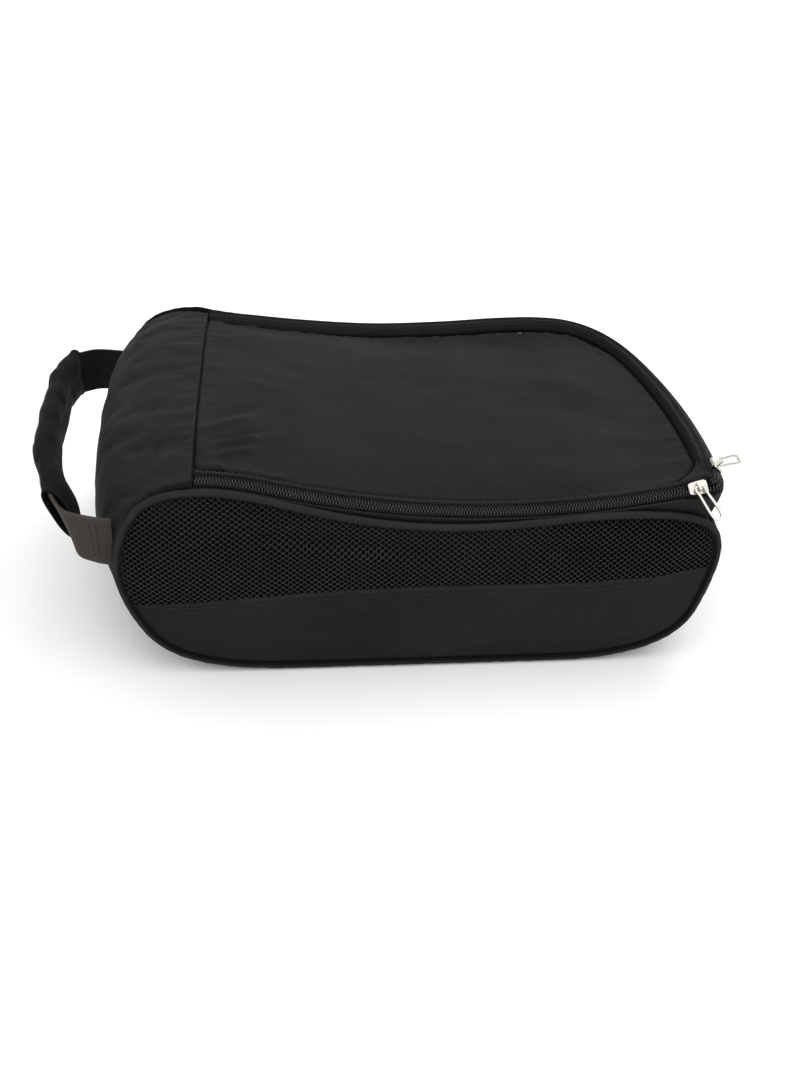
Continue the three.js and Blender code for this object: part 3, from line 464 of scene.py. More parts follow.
# ---------------------------------------------------------------- meshes
def make(name, verts, faces, weave=None, wear_and_shade=None, angle=42):
    """One object from vertices in millimetres, with the cloth's own coordinates stored on it, and its wear and
    painted shade: positive values lighten rubbed cloth, negative ones paint shade into seams and crevices.
    """
    verts = np.asarray(verts, float)
    mesh = bpy.data.meshes.new(name)
    mesh.from_pydata((verts * MM).tolist(), [], [list(f) for f in faces])
    mesh.polygons.foreach_set("use_smooth", [True] * len(mesh.polygons))
    mesh.set_sharp_from_angle(angle=math.radians(angle))
    if weave is not None:
        a = mesh.attributes.new("weave", "FLOAT_VECTOR", "POINT")
        a.data.foreach_set("vector", np.asarray(weave, np.float32).ravel())
    if wear_and_shade is not None:
        a = mesh.attributes.new("wear_and_shade", "FLOAT", "POINT")
        a.data.foreach_set("value", np.asarray(wear_and_shade, np.float32).ravel())
    mesh.update()
    piece = bpy.data.objects.new(name, mesh)
    scene.collection.objects.link(piece)
    return piece


def volume(verts, faces):
    """Six times the volume inside the faces: its sign tells whether they face outward."""
    f = np.array([[q[0], q[1], q[2], q[3]] if len(q) == 4 else [q[0], q[1], q[2], q[2]] for q in faces])
    a, b, c, d = (verts[f[:, k]] for k in range(4))
    return float(np.sum(a * np.cross(b, c)) + np.sum(a * np.cross(c, d)))


def grid_quads(n, m, start=0, flip=False):
    i, j = np.meshgrid(np.arange(n - 1), np.arange(m - 1), indexing="ij")
    a = start + i * m + j
    q = np.stack([a, a + m, a + m + 1, a + 1], -1).reshape(-1, 4)
    return q[:, ::-1] if flip else q


def normals(grid):
    return unit(np.cross(np.gradient(grid, axis=0), np.gradient(grid, axis=1)))


def facing(grid, outward):
    """A sheet's normals, on the side its outward direction points to."""
    n = normals(grid)
    return n * np.sign(np.sum(n * outward))


def threads(along, across):
    """Cloth coordinates from the distances along and across the cloth, in millimetres."""
    along, across = np.broadcast_arrays(along, across)
    return np.stack([along, across, 0 * along], -1)


def cloth_coordinates(grid):
    """Millimetres along the cloth's two threads, measured along the sheet's middle lines."""
    middle = grid.shape[1] // 2
    across = np.array([lengths(row) - lengths(row)[middle] for row in grid])
    return threads(lengths(grid[:, middle])[:, None], across)


def slab(name, front, back, wear_and_shade=None, weave=None, angle=42):
    """A closed cloth sheet from its outer and inner faces, each a grid of points."""
    n, m = front.shape[:2]
    verts = np.vstack([front.reshape(-1, 3), back.reshape(-1, 3)])
    k = n * m
    faces = [grid_quads(n, m), grid_quads(n, m, k, True)]
    up, along = np.arange(n - 1) * m, np.arange(m - 1)
    edges = ((up, m, True), (up + m - 1, m, False), (along, 1, False), (along + (n - 1) * m, 1, True))
    for a, step, flip in edges:
        q = np.stack([a, a + step, a + step + k, a + k], -1)
        faces.append(q[:, ::-1] if flip else q)
    faces = np.vstack(faces)
    if volume(verts, faces) < 0:
        faces = faces[:, ::-1]
    weave = cloth_coordinates(front) if weave is None else weave
    wear_and_shade = np.zeros((n, m)) if wear_and_shade is None else wear_and_shade
    weave, wear_and_shade = np.concatenate([weave, weave]), np.concatenate([wear_and_shade, wear_and_shade * 0])
    return make(name, verts, faces, weave, wear_and_shade, angle)


def cloth(name, front, thickness, outward, wear_and_shade=None):
    """A sheet whose inner face lies behind its outer one. outward is a rough outward direction."""
    return slab(name, front, front - facing(front, outward) * thickness, wear_and_shade)


def rings_mesh(rings, closed):
    """Faces of a swept section: rings is (count, sides, 3)."""
    n, m = rings.shape[:2]
    i, j = np.meshgrid(np.arange(n if closed else n - 1), np.arange(m), indexing="ij")
    row, after = (i % n) * m, ((i + 1) % n) * m
    turn = (j + 1) % m
    faces = np.stack([row + j, after + j, after + turn, row + turn], -1).reshape(-1, 4).tolist()
    if not closed:
        faces += [list(range(m))[::-1], [(n - 1) * m + k for k in range(m)]]
    return rings.reshape(-1, 3), faces


def swept(name, rings, closed=False, weave=None, wear_and_shade=None, angle=60):
    """One object from the rings of a swept section, its faces turned outward."""
    verts, faces = rings_mesh(rings, closed)
    if volume(verts, [f for f in faces if len(f) <= 4]) < 0:
        faces = [f[::-1] for f in faces]
    return make(name, verts, faces, weave, wear_and_shade, angle)


def path_frames(path, closed=False, normal=None):
    """Tangent, side and top directions along a path."""
    if closed:
        t = unit(np.roll(path, -1, 0) - np.roll(path, 1, 0))
    else:
        e = np.vstack([2 * path[0] - path[1], path, 2 * path[-1] - path[-2]])
        t = unit(e[2:] - e[:-2])
    ref = np.broadcast_to(UP if normal is None else normal, path.shape)
    a = unit(np.cross(t, ref))
    return t, a, unit(np.cross(a, t))


def turns(sides):
    return np.arange(sides) / sides * 2 * math.pi


def section(path, a, b, w, r):
    """Rings round a path: angle w from direction a towards b, at radius r."""
    return path[:, None] + (a[:, None] * np.cos(w)[None, :, None] + b[:, None] * np.sin(w)[None, :, None]) * r


def wire(path, radius, sides=10, closed=False, normal=None):
    """Round tube rings along a path. radius may be a list."""
    _, a, b = path_frames(path, closed, normal)
    r = np.broadcast_to(np.asarray(radius, float), (len(path),))[:, None, None]
    return section(path, a, b, turns(sides), r)


def join(parts):
    """One vertex list and face list from several."""
    verts, faces, start = [], [], 0
    for v, f in parts:
        verts.append(v)
        faces += [[k + start for k in q] for q in f]
        start += len(v)
    return np.vstack(verts), faces


def sew(name, path, up, slot, body, pitch, long, r=0.2, lift=0.1, start=1.5):
    """A row of thread stitches on a surface: path is where it runs, up the surface's outward direction."""
    s = lengths(path)
    starts = np.arange(start, s[-1] - long, pitch)
    t = np.linspace(0, 1, 7)
    parts = []
    profile = lift + 0.28 * np.sin(math.pi * t) - 0.25 * (np.abs(2 * t - 1) ** 6)
    radius = r * (1 - 0.45 * np.abs(2 * t - 1) ** 4)
    full = np.hstack([path, np.broadcast_to(up, path.shape)])
    for a in starts:
        q = sample(full, s, a + t * long)
        n = unit(q[:, 3:])
        parts.append(rings_mesh(wire(q[:, :3] + n * profile[:, None], radius, 6, normal=n), False))
    verts, faces = join(parts)
    finish(make(name, verts, faces, verts, np.ones(len(verts)), 80), slot, body, look="thread")


def finer(grid):
    """Twice as many points each way, on a smooth surface through the given ones."""
    for axis in (0, 1):
        g = np.moveaxis(grid, axis, 0)
        e = np.concatenate([2 * g[:1] - g[1:2], g, 2 * g[-1:] - g[-2:-1]])
        half = (-e[:-3] + 9 * e[1:-2] + 9 * e[2:-1] - e[3:]) / 16
        out = np.empty((2 * len(g) - 1,) + g.shape[1:])
        out[0::2], out[1::2] = g, half
        grid = np.moveaxis(out, 0, axis)
    return grid


def drape(grid, pinned, pull, spare, bend, cap, seed, frames=26):
    """Runs a cloth simulation on a sheet sewn along its pinned points: the cloth is cut larger by the spare
    share, and pull, an acceleration in m/s2, settles it. The settled grid has moved no further than cap."""
    n, m = grid.shape[:2]
    base = grid + normals(grid) * (waves(grid, 26, seed) * 0.35 * ~pinned)[..., None]
    mesh = bpy.data.meshes.new("settling")
    mesh.from_pydata((base.reshape(-1, 3) * MM).tolist(), [], grid_quads(n, m).tolist())
    body = bpy.data.objects.new("settling", mesh)
    scene.collection.objects.link(body)
    group = body.vertex_groups.new(name="sewn")
    group.add(np.flatnonzero(pinned.ravel()).tolist(), 1.0, "REPLACE")
    modifier = body.modifiers.new("cloth", "CLOTH")
    s = modifier.settings
    s.quality = 6
    s.mass = 0.2
    s.air_damping = 2
    s.tension_stiffness = s.compression_stiffness = 18
    s.shear_stiffness = 6
    s.bending_stiffness = bend
    s.vertex_group_mass = "sewn"
    s.shrink_min = -spare
    modifier.point_cache.frame_start = 1
    modifier.point_cache.frame_end = frames
    modifier.collision_settings.use_collision = False
    kept = scene.gravity.copy()
    scene.gravity = pull
    for f in range(1, frames + 1):
        scene.frame_set(f)
    settled = body.evaluated_get(bpy.context.evaluated_depsgraph_get())
    co = np.empty(n * m * 3, np.float32)
    settled.data.vertices.foreach_get("co", co)
    scene.gravity = kept
    scene.frame_set(1)
    bpy.data.objects.remove(body)
    move = co.reshape(n, m, 3).astype(float) / MM - grid
    far = np.linalg.norm(move, axis=-1, keepdims=True)
    return grid + move * np.where(far > 1e-9, cap * np.tanh(far / cap) / np.maximum(far, 1e-9), 0)


def fold(grid, a, b, width, height):
    """Adds a soft ridge (or, with a negative height, a valley) from a to b to a sheet's outer face."""
    a, b = np.array(a, float), np.array(b, float)
    d = b - a
    t = np.clip(((grid - a) @ d) / (d @ d), -0.2, 1.2)
    gap = np.linalg.norm(grid - (a + t[..., None] * d), axis=-1)
    return height * np.exp(-(gap / width) ** 2) * smooth(t / 0.35 + 0.2) * smooth((1 - t) / 0.35 + 0.2)


def folds(grid, ridges):
    return sum(fold(grid, *ridge) for ridge in ridges)


# ---------------------------------------------------------------- materials
class Nodes:
    """Short calls for building a material's node tree."""

    def __init__(self, name):
        self.material = bpy.data.materials.new(name)
        self.material.use_nodes = True
        self.tree = self.material.node_tree
        self.tree.nodes.clear()

    def add(self, kind, inputs=None, **settings):
        node = self.tree.nodes.new(kind)
        for key, value in settings.items():
            setattr(node, key, value)
        for key, value in (inputs or {}).items():
            self.feed(node.inputs[key], value)
        return node

    def feed(self, socket, value):
        if isinstance(value, bpy.types.NodeSocket):
            self.tree.links.new(value, socket)
        else:
            socket.default_value = value

    def math(self, operation, *values):
        node = self.add("ShaderNodeMath", operation=operation)
        for k, value in enumerate(values):
            self.feed(node.inputs[k], value)
        return node.outputs[0]

    def noise(self, vector, scale, detail, out="Fac"):
        node = self.add("ShaderNodeTexNoise", {"Vector": vector, "Scale": scale, "Detail": detail})
        return node.outputs[out]

    def vector(self, operation, a, b):
        return self.add("ShaderNodeVectorMath", {0: a, 1: b}, operation=operation).outputs[0]

    def surface(self, inputs):
        """Ends the tree in one shader with the given inputs, and returns the material."""
        shader = self.add("ShaderNodeBsdfPrincipled", inputs)
        self.add("ShaderNodeOutputMaterial", {"Surface": shader.outputs[0]})
        return self.material

    def ramp(self, value, low, high, out_low, out_high):
        node = self.add("ShaderNodeMapRange", {0: value, 1: low, 2: high, 3: out_low, 4: out_high})
        return node.outputs[0]

    def blend(self, share, a, b):
        node = self.add("ShaderNodeMix", data_type="RGBA")
        self.feed(node.inputs[0], share)
        self.feed(node.inputs[6], a)
        self.feed(node.inputs[7], b)
        return node.outputs[2]


def rgb(hexa, gain=1.0):
    c = [((hexa >> k) & 255) / 255 for k in (16, 8, 0)]
    c = [v / 12.92 if v <= 0.04045 else ((v + 0.055) / 1.055) ** 2.4 for v in c]
    return [v * gain for v in c] + [1]


def woven(name, colour, pitch=0.62, rough=0.82, sheen=0.03, depth=0.00006, twill=0, light=1.7, blotch=0.10,
          ribs=0.0):
    """Woven cloth: warp over weft at the given pitch in millimetres, faded and linty as real cloth is, with
    painted shade in the weave's hollows, and from its wear_and_shade attribute rubbed wear where positive and
    painted shade in seams where negative. light is the gain of its faded parts, blotch how uneven the fading
    is, ribs the pitch of raised ribs, if any."""
    n = Nodes(name)
    where = n.add("ShaderNodeAttribute", attribute_name="weave").outputs["Vector"]
    # the wear_and_shade attribute: rubbed wear where positive, painted shade where negative
    wear_and_shade = n.add("ShaderNodeAttribute", attribute_name="wear_and_shade").outputs["Fac"]
    place = n.add("ShaderNodeTexCoord").outputs["Object"]
    wobble = n.vector("MULTIPLY", n.noise(where, 0.22, 1, "Color"), (0.9, 0.9, 0))
    axes = n.add("ShaderNodeSeparateXYZ", {0: n.vector("ADD", where, wobble)})
    u = n.math("DIVIDE", axes.outputs[0], pitch)
    v = n.math("DIVIDE", axes.outputs[1], pitch)
    if twill:
        v = n.math("ADD", v, n.math("MULTIPLY", u, twill))

    def hump(value, times):
        return n.math("ABSOLUTE", n.math("SINE", n.math("MULTIPLY", value, times)))

    a, b = hump(u, math.pi), hump(v, math.pi)
    crossing = n.math("ADD", n.math("FLOOR", u), n.math("FLOOR", v))
    turn = n.math("COSINE", n.math("MULTIPLY", crossing, math.pi))
    warp = n.math("MULTIPLY", a, n.math("MULTIPLY_ADD", n.math("MULTIPLY", turn, b), 0.4, 0.6))
    weft = n.math("MULTIPLY", b, n.math("MULTIPLY_ADD", n.math("MULTIPLY", turn, a), -0.4, 0.6))
    height = n.math("MAXIMUM", warp, weft)
    thread = n.noise(n.vector("MULTIPLY", where, (0.35, 4.5, 1)), 1.0, 1)
    height = n.math("ADD", height, n.math("MULTIPLY", thread, 0.35))
    if ribs:
        line = n.math("POWER", hump(axes.outputs[1], math.pi / ribs), 0.5)
        height = n.math("ADD", height, n.math("MULTIPLY", line, 1.6))
    cloudy = n.noise(place, 16, 3)
    mid = n.noise(place, 120, 2)
    lint = n.noise(place, 900, 2)
    pale = rgb(colour, light)
    c = n.blend(n.ramp(cloudy, 0.3, 0.7, 0.5 - blotch * 3, 0.5 + blotch * 3), rgb(colour, 0.62), pale)
    c = n.blend(0.35, rgb(colour), c)
    # painted shade in the weave's hollows: darker where the threads' height is low
    c = n.blend(n.ramp(height, 0.25, 1.15, 0.65, 0), c, rgb(colour, 0.42))
    c = n.blend(n.ramp(mid, 0.45, 0.8, 0, 0.25), c, pale)
    c = n.blend(n.ramp(lint, 0.71, 0.76, 0, 0.5), c, rgb(colour, 4.2))
    # rubbed wear: positive values fade the cloth lighter in a scuffed pattern
    rubbed = n.math("MULTIPLY", wear_and_shade, n.ramp(n.noise(place, 300, 3), 0.35, 0.65, 0.1, 0.75))
    c = n.blend(rubbed, c, rgb(colour, 1.6))
    # painted shade: negative values darken the colour towards 0.18 of itself in seams, beside the piping and
    # in tucks
    c = n.blend(n.math("MULTIPLY", wear_and_shade, -1.0), c, rgb(colour, 0.18))
    bump = n.add("ShaderNodeBump", {"Height": height, "Distance": depth, "Strength": 0.75})
    soft = n.add("ShaderNodeBump", {"Height": n.noise(place, 260, 3), "Distance": 0.0004, "Strength": 0.25,
                                    "Normal": bump.outputs[0]})
    matt = n.math("ADD", n.math("MULTIPLY", mid, 0.6), n.math("MULTIPLY", wear_and_shade, -0.25))
    r = n.ramp(matt, 0.1, 0.6, rough - 0.07, min(rough + 0.08, 1))
    return n.surface({"Base Color": c, "Roughness": r, "Normal": soft.outputs[0], "Sheen Weight": sheen,
                      "Sheen Roughness": 0.45, "Specular IOR Level": 0.06})


def yarn(name, colour, rough=0.5, twist=1.4, specular=0.45, sheen=0.1):
    """Knit yarn, thread or moulded filament: fine strands, uneven gloss."""
    n = Nodes(name)
    place = n.add("ShaderNodeTexCoord").outputs["Object"]
    streak = n.noise(n.vector("MULTIPLY", place, (1, 1, 2.2)), 1000 * twist, 2)
    cloudy = n.noise(place, 40, 2)
    c = n.blend(n.ramp(streak, 0.35, 0.65, 0, 1), rgb(colour, 0.6), rgb(colour, 1.4))
    c = n.blend(n.ramp(cloudy, 0.35, 0.65, 0, 0.35), c, rgb(colour, 1.9))
    bump = n.add("ShaderNodeBump", {"Height": streak, "Distance": 0.00006, "Strength": 0.5})
    r = n.ramp(streak, 0.3, 0.7, rough - 0.08, rough + 0.1)
    return n.surface({"Base Color": c, "Roughness": r, "Normal": bump.outputs[0],
                      "Specular IOR Level": specular, "Sheen Weight": sheen})


def plated(name, colour):
    """Nickel-plated zinc: bright, faintly cast, scuffed where hands and cloth rub it, with a painted highlight
    on its sharp edges.
    """
    n = Nodes(name)
    place = n.add("ShaderNodeTexCoord").outputs["Object"]
    cast = n.noise(place, 900, 3)
    scuff = n.noise(n.vector("MULTIPLY", place, (1, 6, 1)), 700, 3)
    edge = n.add("ShaderNodeNewGeometry").outputs["Pointiness"]
    c = n.blend(n.ramp(cast, 0.3, 0.7, 0, 0.5), rgb(colour), rgb(colour, 0.72))
    # painted highlight: sharp edges lightened towards near-white
    c = n.blend(n.ramp(edge, 0.5, 0.56, 0, 0.5), c, rgb(0xf3f1ec))
    bump = n.add("ShaderNodeBump", {"Height": cast, "Distance": 0.00005, "Strength": 0.25})
    return n.surface({"Base Color": c, "Metallic": 1.0, "Normal": bump.outputs[0],
                      "Roughness": n.ramp(scuff, 0.35, 0.7, 0.16, 0.36)})


RIBBED = {"pitch": 0.9, "rough": 0.7, "depth": 0.00012, "light": 1.4, "ribs": 1.3}
M = {
    "fabric": woven("woven_polyester", 0x1f1f20, blotch=0.16),
    "lining": woven("lining_taffeta", 0x0f0f10, pitch=0.35, rough=0.62, sheen=0.05, depth=0.00003, light=1.4),
    "mesh": yarn("knit_yarn", 0x232324, 0.5, specular=0.3, sheen=0.0),
    "piping": woven("piping_bias", 0x252525, pitch=0.6),
    "tape": woven("zip_tape", 0x1c1c1b, pitch=0.5, twill=1.0, light=1.5),
    "coil": yarn("coil_filament", 0x2a2a27, 0.38, 0.6, 0.45, 0),
    "webbing": woven("ribbed_webbing", 0x3c3734, **RIBBED),
    # a darker copy of the webbing: painted shade for the far strap
    "webbing_painted_shade": woven("ribbed_webbing_painted_shade", 0x211e1c, **RIBBED),
    "grip": woven("grip_cover_cloth", 0x0e0d0d, pitch=0.7),
    "thread": yarn("sewing_thread", 0x1f1e1f, 0.55, 2.0, 0.3, 0.0),
    "nickel": plated("nickel", 0xd2cfc8),
}


def finish(piece, slot, body, *nodes, look=None):
    """Gives a piece its material (its slot's own or another look) and its body, and hides the CAD nodes it
    stands in for.
    """
    piece.data.materials.clear()
    piece.data.materials.append(M[look or slot])
    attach(piece, body)
    if nodes:
        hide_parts(*nodes)
    return piece


# ---------------------------------------------------------------- floor
def floor():
    n = Nodes("floor")
    place = n.add("ShaderNodeTexCoord").outputs["Object"]
    patches = n.ramp(n.noise(place, 3, 2), 0.3, 0.7, 0, 1)
    c = n.blend(patches, (0.91, 0.91, 0.91, 1), (0.94, 0.94, 0.94, 1))
    paper = n.surface({"Base Color": c, "Roughness": 0.9, "Specular IOR Level": 0.1})
    mesh = bpy.data.meshes.new("floor")
    far, below = 6, -0.0004
    corners = [(-far, -far, below), (far, -far, below), (far, far, below), (-far, far, below)]
    mesh.from_pydata(corners, [], [(0, 1, 2, 3)])
    mesh.materials.append(paper)
    ground = bpy.data.objects.new("floor", mesh)
    scene.collection.objects.link(ground)


floor()

# ---------------------------------------------------------------- piping
def piping(side, count=620, sides=16):
    """The cord round one side's outline, with painted shade on its flanks where it lies between the cloths,
    and its outer crest rubbed lighter.
    """
    round_it = np.arange(count) / count
    p, out = edge_at(side, round_it * STATIONS, PIPE_R)
    p[:, 1] = SIGN[side] * SIDE_Y
    arc = round_it * OUTLINES[side][2]
    pucker = 0.10 * np.sin(arc / 7.3 * 2 * math.pi + 1.5 * np.sin(arc / 31)) + 0.08 * waves(p, 16, 5)
    _, a, b = path_frames(p, True, np.array([0, 1.0, 0]))
    w = turns(sides)
    twist = 0.05 * np.sin(w[None] * 3 + arc[:, None] / 2.1)
    r = (PIPE_R - PIPE_SLIM + 0.5 * pucker)[:, None] + twist
    rings = section(p, a, b, w, r[..., None])
    seen = np.sum(unit(rings - p[:, None]) * (out * 0.6 + [0, SIGN[side] * 0.8, 0])[:, None], -1)
    # rubbed wear on the outward crest; painted shade on the flanks that lie between the cloths
    wear_and_flank_shade = 0.3 * np.maximum(0, seen) ** 4 - 0.9 * smooth((0.70 - seen) / 0.3)
    along, girth = arc[:, None] * 0.7 + 0 * r, PIPE_R * w * 0.7
    piece = swept(f"piping_{side}_cord", rings, True, threads(along + girth, girth - along).reshape(-1, 3),
                  wear_and_flank_shade.ravel())
    finish(piece, "piping", "bag", f"piping_{side}")


for side in SIGN:
    piping(side)


# ---------------------------------------------------------------- side panels: net above, plain cloth below
def nearest(points, a, b):
    """Distance in a plane from each place (a, b) to the nearest of some points."""
    d = np.full(a.shape, 1e9)
    for p, q in points:
        d = np.minimum(d, np.hypot(p - a, q - b))
    return d


def from_rim(side, x, z):
    return nearest(OUTLINES[side][0][::20, [0, 2]], x, z)


def side_y(side, x, z):
    """How far out a side's cloth stands: softly full in the middle, drawn in at the piping."""
    d = from_rim(side, x, z)
    y = SIDE_Y + 0.4 + 3.0 * smooth((d - 4.8) / 30) - 1.5 * smooth((6.4 - d) / 4)
    q = upright(x, z)
    uneven = 0.45 * waves(q, 58, 11 if side == "near" else 12) + 0.16 * waves(q, 19, 13, stretch=(0.55, 1, 1))
    return y + smooth((d - 6) / 14) * uneven


NET_FOLDS = [((-98, 0, 92), (8, 0, 77), 6.5, -1.6), ((-98, 0, 84), (12, 0, 69), 4.2, 1.1),
             ((40, 0, 80), (128, 0, 74), 7, -0.9), ((-140, 0, 60), (-100, 0, 86), 7, 0.8)]


def side_folds(side, x, z):
    """The net's own slack: a shallow sag below the top piping, and a doubled pleat towards the heel end."""
    f = folds(upright(x, z), NET_FOLDS)
    return f if side == "near" else f * 0.7


def net(side):
    """Hexagonal knit net: each cell is a ring of rounded strands round a real hole."""
    wide, tall, blunt, ring = 3.9, 3.15, 0.42, 12
    xs = np.arange(-164, 165, wide)
    rows = np.arange(36, 122, tall / 2)
    cx = np.concatenate([xs + (k % 2) * wide / 2 for k in range(len(rows))])
    cz = np.repeat(rows, len(xs))
    px, _, pz = OUTLINES[side][0][::40].T
    inside = np.zeros(len(cx), bool)
    for k in range(len(px)):
        x0, z0, x1, z1 = px[k - 1], pz[k - 1], px[k], pz[k]
        cross = (z0 > cz) != (z1 > cz)
        inside ^= cross & (cx < (x1 - x0) * (cz - z0) / (z1 - z0 + 1e-12) + x0)
    keep = inside & (from_rim(side, cx, cz) > 4.0) & (cz > table(SPLIT, cx) - 2.6)
    cx, cz = cx[keep], cz[keep]
    # the cell's six corners, with its points left and right, and the middles of its six sides
    point, top = wide / 2 - blunt, tall / 2
    hexa = np.array([[point, 0.0], [blunt, top], [-blunt, top], [-point, 0.0], [-blunt, -top], [blunt, -top]])
    outer = np.empty((ring, 2))
    outer[0::2], outer[1::2] = hexa, (hexa + np.roll(hexa, -1, 0)) / 2
    hole = outer * np.array([0.80, 0.775])
    hole[0::2] *= 0.95
    index, verts = {}, []

    def vertex(x, z, layer):
        key = (round(x * 50 + 0.137), round(z * 50 + 0.137), layer)
        if key not in index:
            index[key] = len(verts)
            verts.append((x, z, layer))
        return index[key]

    faces, used = [], {}
    for x, z in zip(cx, cz):
        top = [vertex(x + a, z + b, 1) for a, b in outer]
        low = [vertex(x + a, z + b, -1) for a, b in outer]
        rim = [vertex(x + a, z + b, 0) for a, b in hole]
        for k in range(ring):
            j = (k + 1) % ring
            faces += [(top[k], top[j], rim[j], rim[k]), (rim[k], rim[j], low[j], low[k])]
            e = (min(top[k], top[j]), max(top[k], top[j]))
            used.setdefault(e, []).append((top[k], top[j], low[k], low[j]))
    for e, owners in used.items():
        if len(owners) == 1:
            a, b, c, d = owners[0]
            faces.append((b, a, c, d))
    x, z, layer = np.array(verts, float).T
    y = side_y(side, x, z) - 0.35 + side_folds(side, x, z) * smooth((from_rim(side, x, z) - 6) / 8)
    drift = 0.22 * waves(upright(x, z), 34, 21)
    knot = 0.10 * np.cos(x / wide * 4 * math.pi)
    p = np.stack([x + drift, SIGN[side] * (y + layer * 0.42 + knot * layer), z + drift * 0.7], -1)
    faces = [f[::-1] for f in faces] if side == "near" else faces
    return make(f"net_{side}", p, faces, p, 0 * x, 75)


def side_cloth(side, lining):
    """The plain cloth below the net, from its hem down to the piping, or the lining behind it."""
    rows = 46
    u, v = grid_of(np.linspace(0, 1, 190), np.linspace(0, 1, rows))
    edge = 7.5 if lining else 3.6
    loop = RING[side][0]
    heel = station_where(side, lambda p: p[0] < -150 and p[2] < table(SPLIT, p[0]))
    toe = station_where(side, lambda p: p[0] > 150 and p[2] > table(SPLIT, p[0]) - 3, heel)
    rim, _ = edge_at(side, mix(heel + 0.2, toe - 0.2, u) + STATIONS, edge)
    x = mix(loop[heel, 0] + edge + 0.4, loop[toe, 0] - edge - 0.4, u)
    seam = upright(x, table(SPLIT, x) - (2.5 if lining else 0))
    p = mix(seam, rim, (1 - (1 - v) ** 1.25)[..., None])
    y = side_y(side, p[..., 0], p[..., 2]) + 0.32 * folds(upright(p[..., 0], p[..., 2]), CLOTH_FOLDS)
    if not lining:
        near_hem = 1 - smooth((v * (rows - 1) - 0.2) / 1.2)
        y = y + 0.55 * smooth((0.16 - v) / 0.03) * (1 - 0.8 * near_hem) + 0.15 * smooth((0.02 - v) / 0.02)
    p[..., 1] = SIGN[side] * (y - (FABRIC + GAP + 0.2 if lining else 0))
    return p


CLOTH_FOLDS = [((-120, 0, 20), (-60, 0, 42), 9, 2.2), ((112, 0, 18), (84, 0, 46), 10, 2.0),
               ((-20, 0, 12), (40, 0, 40), 16, 1.6), ((-90, 0, 12), (-20, 0, 24), 10, -1.4),
               ((140, 0, 30), (100, 0, 55), 8, -1.6)]
for side in SIGN:
    outward = np.array([0, SIGN[side], 0])
    finish(net(side), "mesh", "bag", f"side_mesh_{side}")
    face = side_cloth(side, False)
    # rubbed wear on the hem's edge (0.8), and painted shade along the edge beside the piping (-0.8)
    hem = np.zeros(face.shape[:2])
    hem[:, :2] = 0.8
    hem[:, -3:] = -0.8
    finish(cloth(f"side_cloth_{side}", face, 0.9, outward, hem), "fabric", "bag", f"side_panel_{side}")
    inner = side_cloth(side, True)
    piece = cloth(f"side_lining_cloth_{side}", inner[::2, ::2], LINING_CLOTH, outward)
    finish(piece, "lining", "bag", f"side_lining_{side}")
    sew(f"hem_stitches_{side}", face[3:-3, 3], outward, "fabric", "bag", 3.1, 2.3)


# ---------------------------------------------------------------- heel, toe and base
def gusset_rows(m):
    """Positions across the gusset, closer together near the piping."""
    t = np.linspace(-1, 1, m)
    return t * 0.72 + 0.28 * np.sin(t * math.pi / 2)


def tucked(p, v, out, reach=1.3, depth=1.5):
    """Turns a gusset's edges down beside the piping."""
    k = smooth((np.abs(v) - 0.955) / 0.045)
    p = p - out * (depth * k)[..., None]
    p[..., 1] += np.sign(v) * reach * k
    return p


def flanged(grid, wear_and_shade, outward, where, deep=3.2):
    """Turns a sheet's edges straight down into its seam, by deep: its last row, or all four edges, and paints
    shade on the turned-down rows.
    """
    wide = {"end": ((0, 1), (0, 0)), "all": ((1, 1), (1, 1))}[where]
    grid = np.pad(grid, wide + ((0, 0),), "edge")
    wear_and_shade = np.pad(wear_and_shade, wide, "edge")
    outward = np.pad(outward, wide + ((0, 0),), "edge") if outward.ndim == 3 else outward
    down = np.zeros(wear_and_shade.shape, bool)
    down[-1] = True
    if where == "all":
        down[0] = down[:, 0] = down[:, -1] = True
    grid[..., 2] -= deep * down
    # painted shade on the turned-down edges
    wear_and_shade[down] = -1
    return grid, wear_and_shade, outward


def rows_pinned(n, m, rim=2):
    pin = np.zeros((n, m), bool)
    pin[:rim] = pin[-rim:] = True
    pin[:, :rim] = pin[:, -rim:] = True
    return pin


def end_sheet(face, ends, rows, pull, **settling):
    """One end's cloth, settled and turned down at the piping: its places u and v, its points, the outline's
    outward direction and its own normals."""
    u, v = grid_of(np.linspace(0, 1, rows), gusset_rows(71))
    sheet = finer(drape(face(u, v), rows_pinned(*u.shape), pull, **settling))
    u, v = finer(u[..., None])[..., 0], finer(v[..., None])[..., 0]
    _, out = edge_at("near", mix(*ends, u))
    sheet = tucked(sheet, v, out)
    return u, v, sheet, out, facing(sheet, out)


def inland(u, v, top):
    """1 on an end's cloth, falling to 0 at its edges."""
    return smooth((1 - np.abs(v)) / 0.06) * smooth((1 - u) / top) * smooth(u / 0.05)


def side_edges(v, low, high):
    """1 in a strip beside the piping."""
    return smooth((np.abs(v) - low) / 0.05) * smooth((high - np.abs(v)) / 0.02)


